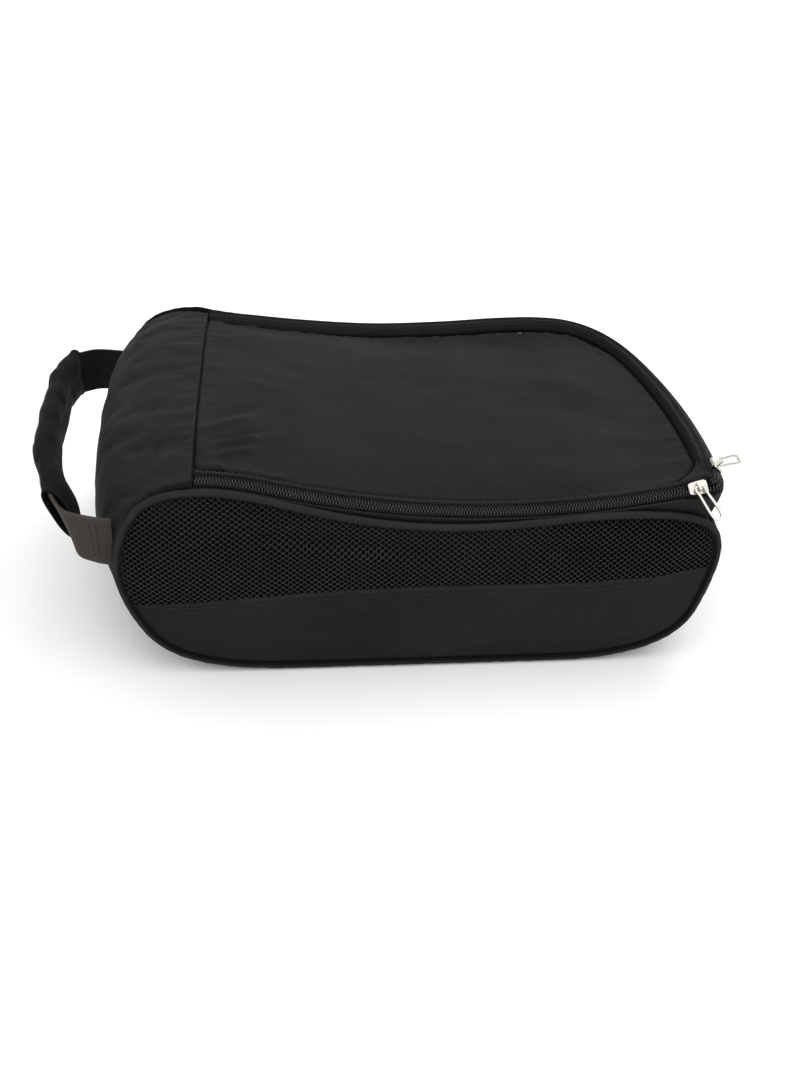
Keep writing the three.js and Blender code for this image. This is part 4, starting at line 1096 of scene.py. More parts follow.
HEEL_FOLDS = [
    ((-166, -62, 96), (-124, -90, 124), 4.2, 1.9), ((-160, -86, 92), (-132, -99, 116), 3.4, -1.5),
    ((-150, -100, 98), (-126, -103, 114), 3.0, 1.1), ((-160, 30, 112), (-132, 84, 124), 6, 1.1),
    ((-172, 60, 92), (-160, 96, 84), 6, -1.4), ((-170, -20, 100), (-150, -40, 118), 9, 0.8),
    ((-174, -80, 70), (-160, -100, 84), 5, -1.2), ((-170, 20, 40), (-174, 70, 62), 9, 1.3),
    ((-168, -70, 36), (-174, -20, 60), 9, 1.2), ((-150, -90, 20), (-166, -60, 40), 7, -1.0),
]
HEEL_RUN = 235  # how long the heel's cloth is, from the base to the lid's seam
u, v, heel, heel_out, heel_n = end_sheet(heel_face, HEEL_ENDS, 78, (-2.2, 0, 0.4), spare=0.009, bend=2.2,
                                         cap=3.2, seed=3)
lift = folds(heel, HEEL_FOLDS) + 0.5 * waves(heel, 46, 31) + 0.13 * waves(heel, 15, 32)
heel = heel + heel_n * (lift * inland(u, v, 0.05))[..., None]
heel[..., 2] -= 1.7 * (1 - smooth((1 - u) * HEEL_RUN / 2.6))
pucker = smooth((1 - np.abs(v)) / 0.02) * smooth((np.abs(v) - 0.86) / 0.1)
ripple = np.sin(u * HEEL_RUN / 6.1 * 2 * math.pi + 2 * np.sin(u * 21))
heel = heel + heel_n * (0.16 * pucker * ripple)[..., None]
ridge = smooth((u - 0.975) / 0.008) * smooth((0.993 - u) / 0.006)
# rubbed wear on the ridge by the seam and the strip by the piping, then painted shade along the lid's seam and
# in the crevice beside the piping
heel_wear_and_shade = 0.15 * ridge + 0.2 * side_edges(v, 0.9, 0.985)
heel_wear_and_shade = heel_wear_and_shade - 0.9 * smooth((u - 0.989) / 0.007) - 0.85 * smooth((np.abs(v) - 0.972) / 0.012)
heel, heel_wear_and_shade, heel_out = flanged(heel, heel_wear_and_shade, heel_out, "end")
finish(cloth("heel_cloth", heel, FABRIC, heel_out, heel_wear_and_shade), "fabric", "bag", "heel_panel")

TOE_FOLDS = [((150, -80, 20), (164, -30, 50), 9, 1.2), ((166, 70, 50), (156, 40, 24), 9, 1.0),
             ((168, -90, 76), (168, -50, 60), 6, -1.1), ((168, 90, 70), (168, 30, 84), 7, -1.0),
             ((168, -10, 66), (166, 40, 76), 8, 0.9)]
TAB_IN = 1.7  # how far behind the zip band the toe's hidden tab lies
u, v, toe, toe_out, toe_n = end_sheet(toe_face, TOE_ENDS, 62, (2.2, 0, 0.0), spare=0.010, bend=2.0,
                                      cap=2.6, seed=4)
lift = folds(toe, TOE_FOLDS) + 0.45 * waves(toe, 44, 41) + 0.13 * waves(toe, 15, 42)
toe = toe + toe_n * (lift * inland(u, v, 0.06))[..., None]
toe_wear_and_shade = 0.2 * side_edges(v, 0.9, 0.985)
# painted shade in the crevice beside the piping
toe_wear_and_shade = toe_wear_and_shade - 0.85 * smooth((np.abs(v) - 0.972) / 0.012)
# the tab: the top edge carries on behind the band, straight up in the middle, along the outline at its ends
ahead = np.array([1.004, 1.03, 1.055, 1.08])[:, None] + 0 * v[:1]
_, ahead_out = edge_at("near", mix(*TOE_ENDS, ahead))
steep = toe[-1:] - toe_out[-1:] * TAB_IN + UP * np.array([0.4, 3.0, 5.5, 8.0])[:, None, None]
curved = toe_face(ahead, v[:1]) - ahead_out * TAB_IN
toe = np.concatenate([toe, mix(steep, curved, smooth((np.abs(v[:1]) - 0.7) / 0.25)[..., None])])
toe_out = np.concatenate([toe_out, ahead_out])
# painted shade on the tab's first row, where it goes in behind the band
toe_wear_and_shade = np.concatenate([toe_wear_and_shade, np.array([-0.5, 0, 0, 0])[:, None] + 0 * ahead])
finish(cloth("toe_cloth", toe, FABRIC, toe_out, toe_wear_and_shade), "fabric", "bag", "toe_panel")

# the base and its lining run a little past the seams, under the ends' cloth
u, v = grid_of(np.linspace(-0.014, 1.014, 100), gusset_rows(110))
base = base_face(u, v)
raised = smooth((1 - np.abs(v)) / 0.1) * smooth(u / 0.1) * smooth((1 - u) / 0.1)
base[..., 2] += 0.25 * (1 + waves(base, 40, 51)) * raised
base = tucked(base, v, -UP, 1.3, 0.6)
finish(cloth("base_cloth", base, FABRIC - 0.2, -UP), "fabric", "bag", "base_panel")

# ---------------------------------------------------------------- linings
def end_lining(end, face, ends, us, behind, slack, seed):
    """The lining of one end: the same face, set in behind its cloth by behind, and slack by slack."""
    u, v = grid_of(us, gusset_rows(80) * 0.975)
    inner = face(u, v)
    nn = facing(inner, edge_at("near", mix(*ends, u))[1])
    uneven = slack * waves(inner, 22, seed) * smooth((1 - np.abs(v)) / 0.1)
    inner = inner - nn * (FABRIC + behind + uneven)[..., None]
    finish(cloth(f"{end}_lining_cloth", inner, LINING_CLOTH, nn), "lining", "bag", f"{end}_lining")


end_lining("heel", heel_face, (BASE_HEEL, HEEL_TOP), np.linspace(0.02, 0.93, 90), 1.7, 0.5, 61)
end_lining("toe", toe_face, (BASE_TOE, TOE_TOP), np.linspace(0.02, 0.985, 74), 1.2, 0.45, 62)
u, v = grid_of(np.linspace(-0.02, 1.02, 100), gusset_rows(90) * 0.985)
inner = base_face(u, v)
inner[..., 2] = 3.6 + 0.35 * waves(inner, 24, 63)
finish(cloth("base_lining_cloth", inner, LINING_CLOTH, UP), "lining", "bag", "base_lining", "base_board")


# ---------------------------------------------------------------- band of body cloth between piping and zip
def top_station(side, x):
    """The station of a side's top edge at x."""
    s = np.arange(TOE_TOP + 1, STATIONS + 1, 0.25)
    p, out = edge_at(side, s)
    ok = out[:, 2] > 0.2
    return np.interp(-np.asarray(x, float), -p[ok, 0], s[ok])


def rim(side, station):
    """Where the band meets a side's piping."""
    p, _ = edge_at(side, station, np.full(np.shape(station), 0.9))
    p[..., 1] = SIGN[side] * (SIDE_Y - 3.2)
    if side == "near":
        p[..., 2] = np.minimum(p[..., 2], near_zip(p[..., 0]) - 3.9)
    return p


def band_lower():
    """The band's lower edge, one point for each of the zip's."""
    near_stop, far_stop = 140, 122
    low = {"near": TOE_TOP + 1.2, "far": float(table(FAR_STATIONS, TOE_TOP)) + 1.2}

    def on_toe(v):
        return toe_face(np.ones_like(v), v) + [0, 0, 1.8]

    rows = np.zeros((LAST + 1, 3))
    for i in range(LAST + 1):
        if i <= LEG:
            q = rim("near", top_station("near", mix(ZIP_HEEL_X, near_stop, i / LEG)))
        elif i <= TOE_START:
            t = (i - LEG) / CORNER
            q = rim("near", mix(top_station("near", near_stop), low["near"], min(t / 0.75, 1)))
            if t > 0.75:
                q = mix(q, on_toe(np.array(-0.8)), (t - 0.75) / 0.25)
        elif i <= TOE_END:
            q = on_toe(np.array(mix(-0.8, 0.5, (i - TOE_START) / TOE)))
        elif i <= FAR_END:
            t = (i - TOE_END) / FAR_CORNER
            if t <= 0.4:
                q = on_toe(np.array(mix(0.5, 0.93, t / 0.4)))
            elif t <= 0.5:
                q = mix(on_toe(np.array(0.93)), rim("far", low["far"]), (t - 0.4) / 0.1)
            else:
                q = rim("far", mix(low["far"], top_station("far", far_stop), (t - 0.5) / 0.5))
        else:
            q = rim("far", top_station("far", mix(far_stop, ZIP_HEEL_X, (i - FAR_END) / LEG)))
        rows[i] = q
    for _ in range(3):
        rows[1:-1] = (rows[:-2] + 2 * rows[1:-1] + rows[2:]) / 4
    return rows


TOE_SLIDER_X = float(toe_zip_x(TOE_SLIDER_Y))
SLIDER_S = {}
for name, x, y in (("near", NEAR_SLIDER_X, -ZIP_Y), ("toe", TOE_SLIDER_X, TOE_SLIDER_Y)):
    SLIDER_S[name] = ZIP_S[int(np.argmin(np.hypot(ZIP[:, 0] - x, ZIP[:, 1] - y)))]


def by_slider(s, reach, soft):
    """1 inside either slider's length, falling to 0 beyond it."""
    d = np.minimum(np.abs(s - SLIDER_S["near"]), np.abs(s - SLIDER_S["toe"]))
    return 1 - smooth((d - reach) / soft)


def open_corner(s):
    """1 between the two sliders, where the zip stands open."""
    return smooth((s - SLIDER_S["near"]) / 6) * smooth((SLIDER_S["toe"] - s) / 6)


def puckers(size, step, s, wander, every):
    """A seam's small ripples over the lengths s: one every step, unevenly spaced."""
    return size * np.sin(s / step * 2 * math.pi + wander * np.sin(s / every))


LOWER = band_lower()
a = on_zip(3.75 + 1.0 * by_slider(ZIP_S, 7, 4), 0.1 + 0 * ZIP_S)
k = np.linspace(0, 1, 17)
chord = LOWER - a
size = np.linalg.norm(chord, axis=1)
bulge_dir = unit(OUT * 0.8 + ZUP * 0.6 + 0 * chord)
bulge = np.clip(0.17 * size, 0.7, 2.2)[:, None] * np.sin(math.pi * k[None] ** 0.8) ** 0.85
band = a[:, None] + chord[:, None] * k[None, :, None] + bulge_dir[:, None] * bulge[..., None]
on_side = smooth((np.abs(LOWER[:, 1]) - 104) / 3)
tuck = np.stack([0 * size, np.sign(LOWER[:, 1]) * 1.9 * on_side, -0.9 * on_side - 0.6], -1)
end = band[:, -1:] + tuck[:, None]
band = np.concatenate([a[:, None] - bulge_dir[:, None] * 0.9, band, end], 1)
s2 = ZIP_S[:, None] + 0 * band[..., 0]
kk = np.concatenate([[0], k, [1]])[None]
ripple = puckers(0.14, 6.7, s2, 2.2, 23) + 0.2 * waves(band, 17, 71)
band = band + bulge_dir[:, None] * (ripple * np.sin(math.pi * kk))[..., None]
TOE_BAND_FOLDS = [((118, -108, 101), (150, -109, 101), 1.8, 0.9),
                  ((128, -110, 98), (156, -106, 101), 1.6, -0.8), ((158, -98, 106), (166, -60, 102), 3, 0.8)]
band = band + bulge_dir[:, None] * folds(band, TOE_BAND_FOLDS)[..., None]
band[[0, -1], :, 0] -= 1.6  # both ends reach in under the hinge seam
# rubbed wear along the band's crest; painted shade at its lower edge, tucked against the piping
band_wear_and_shade = 0.2 * np.exp(-((kk - 0.35) / 0.2) ** 2) - 0.9 * smooth((kk - 0.93) / 0.05) + 0 * s2
finish(cloth("band_cloth", band, 0.8, bulge_dir[:, None], band_wear_and_shade), "fabric", "bag", "zip_band")

# ---------------------------------------------------------------- zip tapes and coils
rows = np.linspace(0, 1, 7)
inner_b = 0.35 + 0.5 * open_corner(ZIP_S)
b = mix(inner_b[:, None], 4.0, rows[None])
tape = on_zip(b.T, -1.25 - 0 * b.T).transpose(1, 0, 2)
finish(cloth("body_tape_cloth", tape, 0.5, FACE[:, None]), "tape", "bag", "body_zip_tape")
inner_b = -0.35 - 0.5 * open_corner(ZIP_S) - 3.9 * by_slider(ZIP_S, 5.4, 0.4)
b = mix(inner_b[:, None], -4.9, rows[None])
tape = on_zip(b.T, -1.25 - 0.3 * rows[:, None] + 0 * b.T).transpose(1, 0, 2)
turn = SEAM - UP * 3.2
tape = np.concatenate([tape, mix(tape[:, -1:], turn[:, None], 0.5)], 1)
finish(cloth("lid_tape_cloth", tape, 0.5, FACE[:, None]), "tape", "lid", "lid_zip_tape")

PITCH, FILAMENT = 1.62, 0.33


ZIP_TABLE = np.hstack([ZIP, ACROSS, FACE])
COIL_UP = np.array([0.3, 0.2, 0.93])


def coil(name, hand, spans, phase):
    """One half's moulded filament: flattened turns whose heads reach in between the other half's."""
    steps = 12
    parts = []
    for s0, s1 in spans:
        w = np.arange(int((s1 - s0 - 1) / PITCH) * steps + 1) / steps
        first = math.ceil(s0 / PITCH) * PITCH + phase * PITCH
        angle = 2 * math.pi * w
        s = first + PITCH * (w + 0.20 * np.sin(angle) / math.pi * 0.5)
        keep = s < s1
        s, angle = s[keep], angle[keep]
        f = sample(ZIP_TABLE, ZIP_S, s)
        wide = np.sign(np.cos(angle)) * np.abs(np.cos(angle)) ** 0.7
        high = np.sign(np.sin(angle)) * np.abs(np.sin(angle)) ** 0.8
        shift = 0.62 * np.maximum(open_corner(s), by_slider(s, 5, 3)) + 0.04 * waves(f[:, :3], 9, 81)
        b = hand * (1.33 + 1.42 * wide + shift)
        p = f[:, :3] + unit(f[:, 3:6]) * b[:, None] + unit(f[:, 6:]) * (0.70 * high)[:, None]
        r = FILAMENT * (1 + 0.22 * np.maximum(0, -wide) ** 3)
        parts.append(rings_mesh(wire(p, r, 6, normal=COIL_UP), False))
    verts, faces = join(parts)
    return make(name, verts, faces, verts, 0 * verts[:, 0], 80)


def coil_thread(name, hand, spans):
    """The seam that holds a coil to its tape: a thread dipping between the turns."""
    parts = []
    for s0, s1 in spans:
        s = np.arange(s0 + 0.8, s1 - 0.8, PITCH / 4)
        f = sample(ZIP_TABLE, ZIP_S, s)
        shift = 0.62 * np.maximum(open_corner(s), by_slider(s, 5, 3))
        for b0, ph in ((1.75, 0.0), (2.2, 0.5)):
            n = 0.95 + 0.10 * np.cos(2 * math.pi * (s / PITCH + ph))
            b = hand * (b0 + shift + 0.1 * np.cos(2 * math.pi * (s / PITCH / 2 + ph)))
            p = f[:, :3] + f[:, 3:6] * b[:, None] + f[:, 6:] * n[:, None]
            parts.append(rings_mesh(wire(p, 0.17, 5, normal=COIL_UP), False))
    verts, faces = join(parts)
    return make(name, verts, faces, verts, 0 * verts[:, 0] + 0.4, 80)


NOTCH = 5.45
full = [(0, ZIP_S[-1])]
leg = [(0, SLIDER_S["near"] - NOTCH)]
corner = [(SLIDER_S["near"] + NOTCH, SLIDER_S["toe"] - NOTCH)]
far_leg = [(SLIDER_S["toe"] + NOTCH, ZIP_S[-1])]
finish(coil("body_coil", 1, full, 0.0), "coil", "bag", "body_zip_coil")
finish(coil_thread("body_coil_thread", 1, full), "tape", "bag")
for name, span, node in (("lid_coil_near", leg, "lid_coil_near_leg"),
                         ("lid_coil_toe", corner, "lid_coil_corner"),
                         ("lid_coil_far", far_leg, "lid_coil_far_leg")):
    finish(coil(name, -1, span, 0.5), "coil", "lid", node)
    finish(coil_thread(name + "_thread", -1, span), "tape", "lid")


# ---------------------------------------------------------------- sliders and pulls
def cast_metal(name, node, voxel=0.00013):
    """The CAD piece with the soft edges of a casting."""
    mesh = bpy.data.meshes.new(name)
    source = frame["nodes"][node].data
    co = np.empty(len(source.vertices) * 3, np.float32)
    source.vertices.foreach_get("co", co)
    co = co.reshape(-1, 3)
    # points that lie together become one, so that the casting is closed
    keys, index = {}, []
    for p in co:
        index.append(keys.setdefault(tuple(np.round(p * 1e7).astype(int)), len(keys)))
    points = np.zeros((len(keys), 3))
    for k, p in zip(index, co):
        points[k] = p
    faces = [[index[k] for k in q.vertices] for q in source.polygons]
    faces = [q for q in faces if len(set(q)) == len(q)]
    mesh.from_pydata(points.tolist(), [], faces)
    piece = bpy.data.objects.new(name, mesh)
    scene.collection.objects.link(piece)
    remesh = piece.modifiers.new("cast", "REMESH")
    remesh.mode = "VOXEL"
    remesh.voxel_size = voxel
    relax = piece.modifiers.new("relax", "SMOOTH")
    relax.factor, relax.iterations = 0.5, 5
    made = bpy.data.meshes.new_from_object(piece.evaluated_get(bpy.context.evaluated_depsgraph_get()))
    piece.modifiers.clear()
    piece.data = made
    made.name = name
    made.polygons.foreach_set("use_smooth", [True] * len(made.polygons))
    return piece


for name in ("slider_near", "slider_toe"):
    finish(cast_metal(name + "_cast", name), "nickel", name, name)


def slider_frame(point, along):
    """A slider's place and its directions along the zip, across it and off its face."""
    along = unit(np.array(along, float))
    out = unit(np.cross(along, UP))
    up = unit(np.cross(out, along))
    return (np.array(point, float), along, out * math.cos(TILT) - up * math.sin(TILT),
            up * math.cos(TILT) + out * math.sin(TILT))


def pull(name, place, turn):
    """A bent wire pull, turned about its slider's face and hanging PULL_DROP below level."""
    point, along, across, face = place
    a = math.radians(turn)
    side = along * math.cos(a) + across * math.sin(a)
    flat = across * math.cos(a) - along * math.sin(a)
    raised = TILT - PULL_DROP
    down = flat * math.cos(raised) - np.cross(side, flat) * math.sin(raised)
    pivot = point + face * PIVOT_N
    w, long = PULL_W / 2 - WIRE_R, PULL_L - 2 * WIRE_R
    local = [(-w * 0.62, 0), (0, 0), (w * 0.62, 0), (w * 0.95, 1.6), (w * 0.9, 6), (w, 12), (w, long - 3.2),
             (w * 0.7, long - 0.8), (0, long), (-w * 0.7, long - 0.8), (-w, long - 3.2), (-w, 12),
             (-w * 0.9, 6), (-w * 0.95, 1.6)]
    arc = np.arange(180) / 180
    path = catmull([pivot + side * p + down * q for p, q in local], True, arc)
    radius = WIRE_R * (1 + 0.03 * np.sin(arc * 2 * math.pi * 9) - 0.05 * np.exp(-((arc - 0.07) / 0.03) ** 2))
    return swept(name, wire(path, radius, 14, True, face), True, angle=80)


rise = (NEAR_SLIDER_X - ARC_X) / ARC_R
near_at = [NEAR_SLIDER_X, -ZIP_Y, float(near_zip(NEAR_SLIDER_X))]
near_place = slider_frame(near_at, [math.sqrt(1 - rise ** 2), 0, rise])
turned = (TOE_SLIDER_Y - TOE_ARC_Y) / TOE_ARC_R
toe_place = slider_frame([TOE_SLIDER_X, TOE_SLIDER_Y, TOE_Z], [-turned, math.sqrt(1 - turned ** 2), 0])
finish(pull("pull_near_wire", near_place, NEAR_PULL_TURN), "nickel", "pull_near", "pull_near")
finish(pull("pull_toe_wire", toe_place, TOE_PULL_TURN), "nickel", "pull_toe", "pull_toe")


# ---------------------------------------------------------------- lid
def seam_gap(x, y):
    """Distance in plan from the lid's seam along the zip."""
    return nearest(along_path(SEAM, np.arange(0, lengths(SEAM)[-1], 0.8))[:, :2], x, y)


def lid_grid(nu, nv, trim, heel_trim):
    """The lid's face as a grid, cut back by trim at the zip and by heel_trim at the hinge."""
    across = np.linspace(-1, 1, nv)
    u, v = grid_of(np.linspace(0, 1, nu), np.sin(across * math.pi / 2) * 0.75 + 0.25 * across)
    y = v * (LID_HALF - trim)
    x = mix(SEAM_X + heel_trim, toe_edge(y)[0] - trim, u)
    return lid_face(y, x)


lid = lid_grid(92, 66, 0.35, 0.3)
lid = drape(lid, rows_pinned(92, 66, 1), (0, 0, -1.2), spare=0.008, bend=5.0, cap=2.2, seed=7)
lid = finer(lid)
gap = seam_gap(lid[..., 0], lid[..., 1])
from_heel = lid[..., 0] - SEAM_X
LID_FOLDS = [
    ((-118, -62, 126), (-82, -38, 126), 3.2, 1.5), ((-114, -76, 122), (-86, -62, 122), 3.0, 1.3),
    ((-120, -88, 119), (-88, -72, 120), 2.8, 1.2), ((-98, -2, 127), (-58, -10, 125), 4.0, 0.9),
    ((76, -26, 116), (138, -46, 112), 6.5, 1.3), ((84, -6, 118), (128, -20, 114), 8, -0.9),
    ((-116, -50, 126), (-70, -20, 126), 4.5, -0.9), ((-110, -70, 124), (-76, -50, 124), 3.0, -0.9),
    ((-40, 40, 122), (30, 64, 120), 14, 0.8), ((60, 50, 120), (120, 10, 116), 12, 0.9),
]
lift = 2.0 * folds(lid, LID_FOLDS) + 1.0 * waves(lid, 84, 91) + 0.2 * waves(lid, 26, 92)
lid[..., 2] += lift * smooth((gap - 1) / 14) * smooth((from_heel - 1) / 10)
roll = 1 - smooth(gap / 3.2)
lid[..., 2] -= 2.3 * roll + 1.7 * (1 - smooth(from_heel / 2.4))
arc = np.where(np.abs(lid[..., 1]) > 60, lid[..., 0], lid[..., 1])
lid[..., 2] += puckers(0.2, 7.1, arc, 2, 19) * smooth(gap / 2.5) * smooth((11 - gap) / 8)
# rubbed wear on the rolled edge and by the hinge
lid_wear_and_shade = 0.25 * smooth((gap - 1.6) / 1.2) * smooth((5.4 - gap) / 2.4)
lid_wear_and_shade = np.maximum(lid_wear_and_shade, 0.12 * smooth((from_heel - 1.2) / 1) * smooth((4.6 - from_heel) / 2))
# painted shade along the seam at the zip and at the hinge
lid_wear_and_shade = lid_wear_and_shade - 0.95 * np.maximum(1 - smooth((gap - 0.5) / 1.0), 1 - smooth((from_heel - 0.5) / 0.8))
lid, lid_wear_and_shade, _ = flanged(lid, lid_wear_and_shade, UP, "all")
lid_piece = cloth("lid_cloth", lid, FABRIC, UP, lid_wear_and_shade)
finish(lid_piece, "fabric", "lid", "lid_panel", "lid_foam")

under = lid_grid(120, 96, 4.2, 3.2)
gap_u = seam_gap(under[..., 0], under[..., 1])
under[..., 2] -= 4.9 - 1.2 * (1 - smooth((gap_u - 4) / 5)) + 0.5 * waves(under, 24, 93)
finish(cloth("lid_lining_cloth", under, LINING_CLOTH, -UP), "lining", "lid", "lid_lining")

# the seam's raw edges inside, bound with tape
t = np.linspace(0, 2 * math.pi, 15)[:-1]
centre = SEAM - UP * 4.6 - OUT * 1.2
thick = 0.85 * np.sin(t)[None, :] * (1 + 0.2 * np.cos(ZIP_S / 3.1)[:, None])
bind = centre[:, None] + OUT[:, None] * (2.6 * np.cos(t))[None, :, None] + UP * thick[..., None]
weave = threads(ZIP_S[:, None], 3 * t[None]).reshape(-1, 3)
finish(swept("lid_seam_binding", bind, False, weave, 0.3 + 0 * weave[:, 0]), "tape", "lid")

# ---------------------------------------------------------------- welt between the lid's seam and the zip
clear = by_slider(ZIP_S, 6.5, 4)
e0 = on_zip(-3.55 - 1.25 * clear, -0.9 + 0 * ZIP_S)
e1 = on_zip(-3.75 - 1.2 * clear, 0.55 + 0 * ZIP_S)
r1 = ZIP - OUT * (4.8 + 0.5 * clear)[:, None] + ZUP * 1.9
r2 = ZIP - OUT * (6.2 + 0.3 * clear)[:, None] + ZUP * 2.1
s1 = SEAM + UP * 0.9 + OUT * 0.9
s0 = SEAM - UP * 2.6 + OUT * 0.3
keys = np.stack([e0, e1, r1, r2, mix(r2, s1, 0.5) + UP * 0.55, s1, s0], 1)
lane = np.linspace(0, 1, 25)
welt = np.stack([catmull(key, False, lane) for key in keys])
s2 = ZIP_S[:, None] + 0 * welt[..., 0]
ripple = puckers(0.12, 6.1, s2, 2.0, 21) + 0.14 * waves(welt, 15, 95)
welt = welt + (ZUP * 0.8 + OUT * 0.2)[:, None] * (ripple * np.sin(math.pi * lane[None]))[..., None]
# rubbed wear along the welt's crest; painted shade where it turns into the lid's seam
welt_wear_and_shade = 0.25 * np.exp(-((lane[None] - 0.45) / 0.12) ** 2) - 0.95 * smooth((lane[None] - 0.86) / 0.06)
welt_wear_and_shade = welt_wear_and_shade + 0 * s2
piece = cloth("welt_cloth", welt, 0.9, (ZUP * 0.8 + OUT * 0.3)[:, None], welt_wear_and_shade)
finish(piece, "fabric", "lid", "lid_welt")
sew("welt_stitches", welt[2:-2, 17], unit(ZUP)[2:-2], "fabric", "lid", 3.2, 2.3)
sew("band_stitches", band[2:-2, 5], unit(bulge_dir)[2:-2], "fabric", "bag", 3.2, 2.3)

# ---------------------------------------------------------------- tape under the hinge
u, v = grid_of(np.linspace(0, 1, 6), np.linspace(-104, 107, 120))
under = seam_height(v) - FABRIC - 1.9 - u * 0.6 + 0.12 * np.sin(v / 2.3)
strip = np.stack([SEAM_X + 4.4 - u * 11, v, under], -1)
finish(cloth("hinge_tape_cloth", strip, 0.6, UP), "tape", "bag", "heel_seam_tape")

# ---------------------------------------------------------------- handle
HANDLE_LINE = [
    (HANDLE_X, -(HANDLE_Y + 2.2), 83), (-191.8, -(HANDLE_Y + 2.4), 84.2), (-197, -103.4, 85.6),
    (-198.8, -97, 88.6), (-199.8, -88, 90.2), (-202, -68, 91.6), (-206, -42, 92), (-209, -12, 91.4),
    (-209.6, 20, 90), (-207.6, 50, 88.2), (-203.6, 74, 86.6), (-200, 90, 85.2), (-198.4, 98, 84.4),
    (-197, 103.4, 83.8), (-191.8, HANDLE_Y + 2.4, 83.2), (HANDLE_X, HANDLE_Y + 2.2, 83),
]
HANDLE_LEAN = 0.42


def handle_path():
    """The webbing's middle line: the CAD's, set in at its near end and out at its far one as in the photo."""
    path = catmull(HANDLE_LINE, False, np.linspace(0, 1, 1600))
    c, s = math.cos(HANDLE_TURN), math.sin(HANDLE_TURN)
    path = (path - [HANDLE_X, 0, 0]) @ np.array([[c, s, 0], [-s, c, 0], [0, 0, 1]]) + [HANDLE_X, 0, 0]
    share = lengths(path) / lengths(path)[-1]
    path[:, 0] += 4.5 * smooth((0.36 - share) / 0.2) * smooth(share / 0.1)
    path[:, 0] -= 4.0 * smooth((share - 0.62) / 0.16) * smooth((1 - share) / 0.12)
    return path


HANDLE = handle_path()
HANDLE_RUN = lengths(HANDLE)[-1]


def leaning(lean):
    """The width direction of webbing that leans away from the bag."""
    return unit(UP - np.array([1.0, 0, 0]) * lean)


def handle_at(t):
    """The handle's middle line at shares t of its length, and the direction off its face."""
    p, q, r = (along_path(HANDLE, (t + step) * HANDLE_RUN) for step in (0, 0.004, -0.004))
    ahead = unit((q - r) * [1, 1, 0])
    return p, np.stack([-ahead[:, 1], ahead[:, 0], 0 * ahead[:, 0]], 1)


STRAP_LEAD = {
    "near": [(-163.5, -104.6, 82.6), (-169, -104.4, 83.4), (-176, -103.4, 84.6), (-184, -101, 86.3)],
    "far": [(-174.5, 103.6, 81), (-181, 103.8, 81.6), (-189, 103.4, 82.4), (-197, 101, 83.4)],
}


def strap(side):
    """Webbing from the corner seam to inside the grip, ribbed, with thicker selvedges."""
    sign = SIGN[side]
    t = np.linspace(0.135, 0.19, 12)
    p, _ = handle_at(t if side == "near" else 1 - t)
    path = catmull(np.vstack([STRAP_LEAD[side], p]), False, np.linspace(0, 1, 400))
    path = along_path(path, np.linspace(0, lengths(path)[-1], 120))
    for _ in range(4):
        path[1:-1] = (path[:-2] + 2 * path[1:-1] + path[2:]) / 4
    tangent, _, _ = path_frames(path)
    flat = tangent * [1, 1, 0]
    out = unit(np.cross(unit(flat), UP))
    out *= np.sign(out[20] @ np.array([0, sign, 0]))
    s = lengths(path)
    rows = np.linspace(-1, 1, 41)
    h = rows * WEB_W / 2
    slant = np.abs(np.mod(h[None] + 60, 6.2) - 3.1)
    chevron = np.abs(np.sin((s[:, None] * 0.9 + slant * 0.9) * math.pi / 1.5))
    relief = 0.16 * chevron ** 0.6 + 0.12 * smooth((np.abs(rows[None]) - 0.9) / 0.06)
    cup = 0.5 * rows[None] ** 2 * np.sin(s[:, None] / 16) + 0.25 * waves(path, 20, 101)[:, None]
    up = leaning(smooth(s / s[-1] * 1.15)[:, None] * (HANDLE_LEAN if side == "near" else 0.0))
    middle = path[:, None] + up[:, None] * h[None, :, None] + out[:, None] * cup[..., None]
    half = out[:, None] * (0.62 + relief)[..., None]
    front, back = middle + half, middle - half
    wear_and_shade = 0.6 * smooth((np.abs(rows[None]) - 0.85) / 0.1) + 0 * chevron
    piece = slab(f"strap_{side}", front, back, wear_and_shade, threads(s[:, None], h[None]), 70)
    # the far strap takes the painted-shade copy of the webbing
    look = "webbing" if side == "near" else "webbing_painted_shade"
    finish(piece, "webbing", "handle", f"handle_tab_{side}", look=look)
    piece.parent = None
    del piece["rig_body"]
    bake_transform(piece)
    return front, out, piece


fronts = {side: strap(side) for side in SIGN}
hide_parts("handle_webbing")
for side, (front, out, _) in fronts.items():
    for j in (17, 24):
        sew(f"strap_stitches_{side}_{j}", front[j, 3:-3], out[j], "webbing", "bag", 2.6, 1.9, 0.22, 0.05)


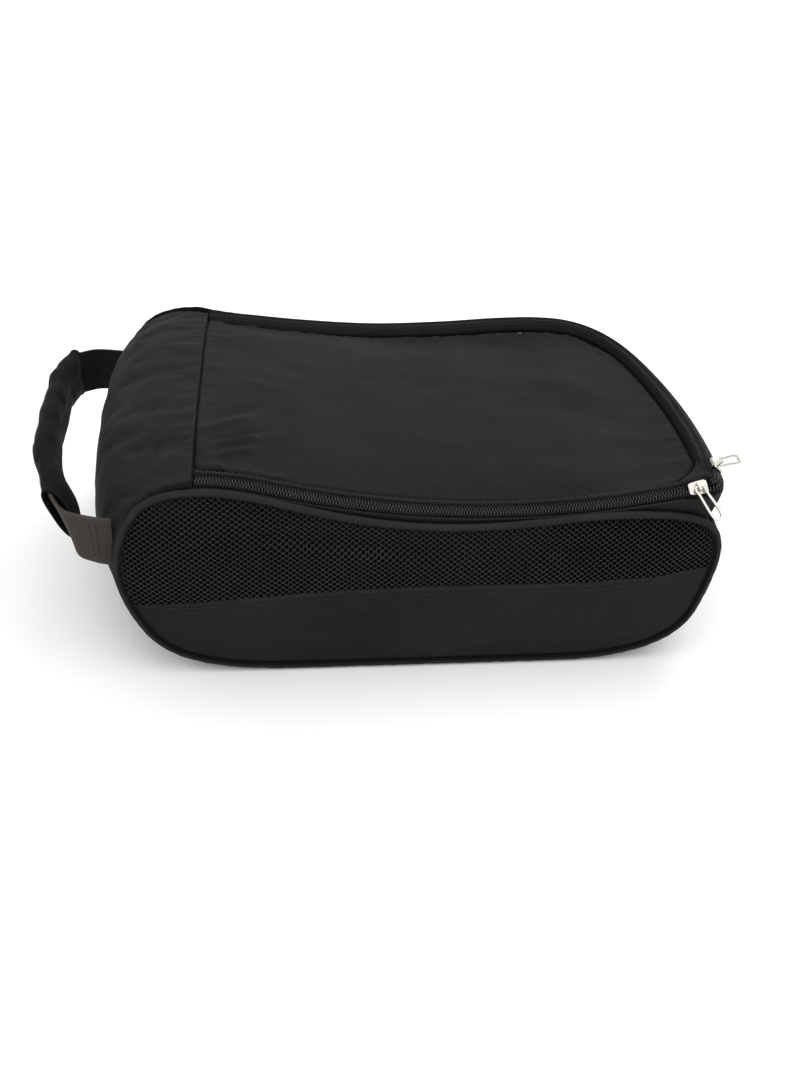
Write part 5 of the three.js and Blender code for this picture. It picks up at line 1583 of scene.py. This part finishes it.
def grip():
    """Padded cover folded round the webbing: a soft flattened tube with its seam inside and open ends."""
    t0, t1, n, m = 0.118, 0.888, 190, 56
    t = np.linspace(t0, t1, n)
    p, out = handle_at(t)
    w = turns(m)
    c, s = np.cos(w), np.sin(w)
    shape_x = np.sign(c) * np.abs(c) ** 0.78
    shape_z = np.sign(s) * np.abs(s) ** 0.66
    from_end = np.minimum(t - t0, t1 - t) * HANDLE_RUN
    thick = GRIP_T / 2 * (0.70 + 0.30 * smooth(from_end / 14) + 0.10 * (1 - smooth(from_end / 4)))
    tall = GRIP_H / 2 * (1 - 0.04 * smooth(from_end / 12) + 0.03 * (1 - smooth(from_end / 5)))
    out, rise = out[:, None], leaning((HANDLE_LEAN * smooth((0.5 - t) / 0.38))[:, None])[:, None]
    outer = p[:, None] + out * (thick[:, None] * shape_x)[..., None]
    outer = outer + rise * (tall[:, None] * shape_z)[..., None]
    radial = unit(out * c[None, :, None] + rise * (s[None] * 0.8)[..., None])
    lift = 0.32 * waves(outer, 30, 111) + 0.16 * waves(outer, 12, 112, stretch=(1, 0.6, 1.3))
    creases = 0
    for centre, width, height in ((0.17, 1.1, -0.9), (0.30, 1.3, -0.7), (0.70, 1.3, -0.7), (0.83, 1.1, -0.9)):
        away = ((t - t0 - (t1 - t0) * centre) * HANDLE_RUN)[:, None] - 3 * s[None]
        creases = creases + height * np.exp(-away ** 2 / (2.6 * width) ** 2) * np.maximum(0, c)[None] ** 0.5
    channel = -0.9 * np.exp(-((np.abs(w - math.pi) * GRIP_H / 2) / 1.4) ** 2)[None] * (c < 0)
    piped = -0.55 * np.exp(-((w[None] - 0.95) / 0.07) ** 2) - 0.55 * np.exp(-((w[None] - 5.33) / 0.07) ** 2)
    uneven = (lift + creases) * smooth(from_end / 8)[:, None] + channel
    uneven = uneven + piped * smooth(from_end / 5)[:, None]
    outer = outer + radial * uneven[..., None]
    # inside, the cover closes from its open ends onto the webbing
    half_w = 1.8 * np.sign(c) * np.abs(c) ** 0.4
    half_h = (WEB_W / 2 + 0.8) * np.sign(s) * np.abs(s) ** 0.4
    tight = p[:, None] + out * half_w[None, :, None] + rise * half_h[None, :, None]
    inner = mix(outer - radial * 1.15, tight, smooth((from_end - 1) / 9)[:, None, None])
    rings = np.concatenate([outer, inner[::-1]], 0)
    arc = np.concatenate([t, t[::-1]])[:, None] * HANDLE_RUN
    edge = np.concatenate([1 - smooth(from_end / 1.6), 0 * t])[:, None]
    outside = np.concatenate([np.ones(n), np.zeros(n)])[:, None]
    wear_and_shade = np.maximum(0.8 * edge, 0.3 * outside * np.abs(s)[None] ** 12)
    weave = threads(arc, (w * GRIP_H / 3.2)[None]).reshape(-1, 3)
    piece = swept("grip_cover", rings, True, weave, wear_and_shade.ravel(), 70)
    finish(piece, "fabric", "handle", "handle_grip", look="grip")
    for row, column in (("upper", 7), ("lower", -7)):
        line, up = outer[4:-4, column], radial[4:-4, column]
        sew(f"grip_stitches_{row}", line, up, "fabric", "handle", 3.0, 2.2, 0.2, 0.05)


grip()
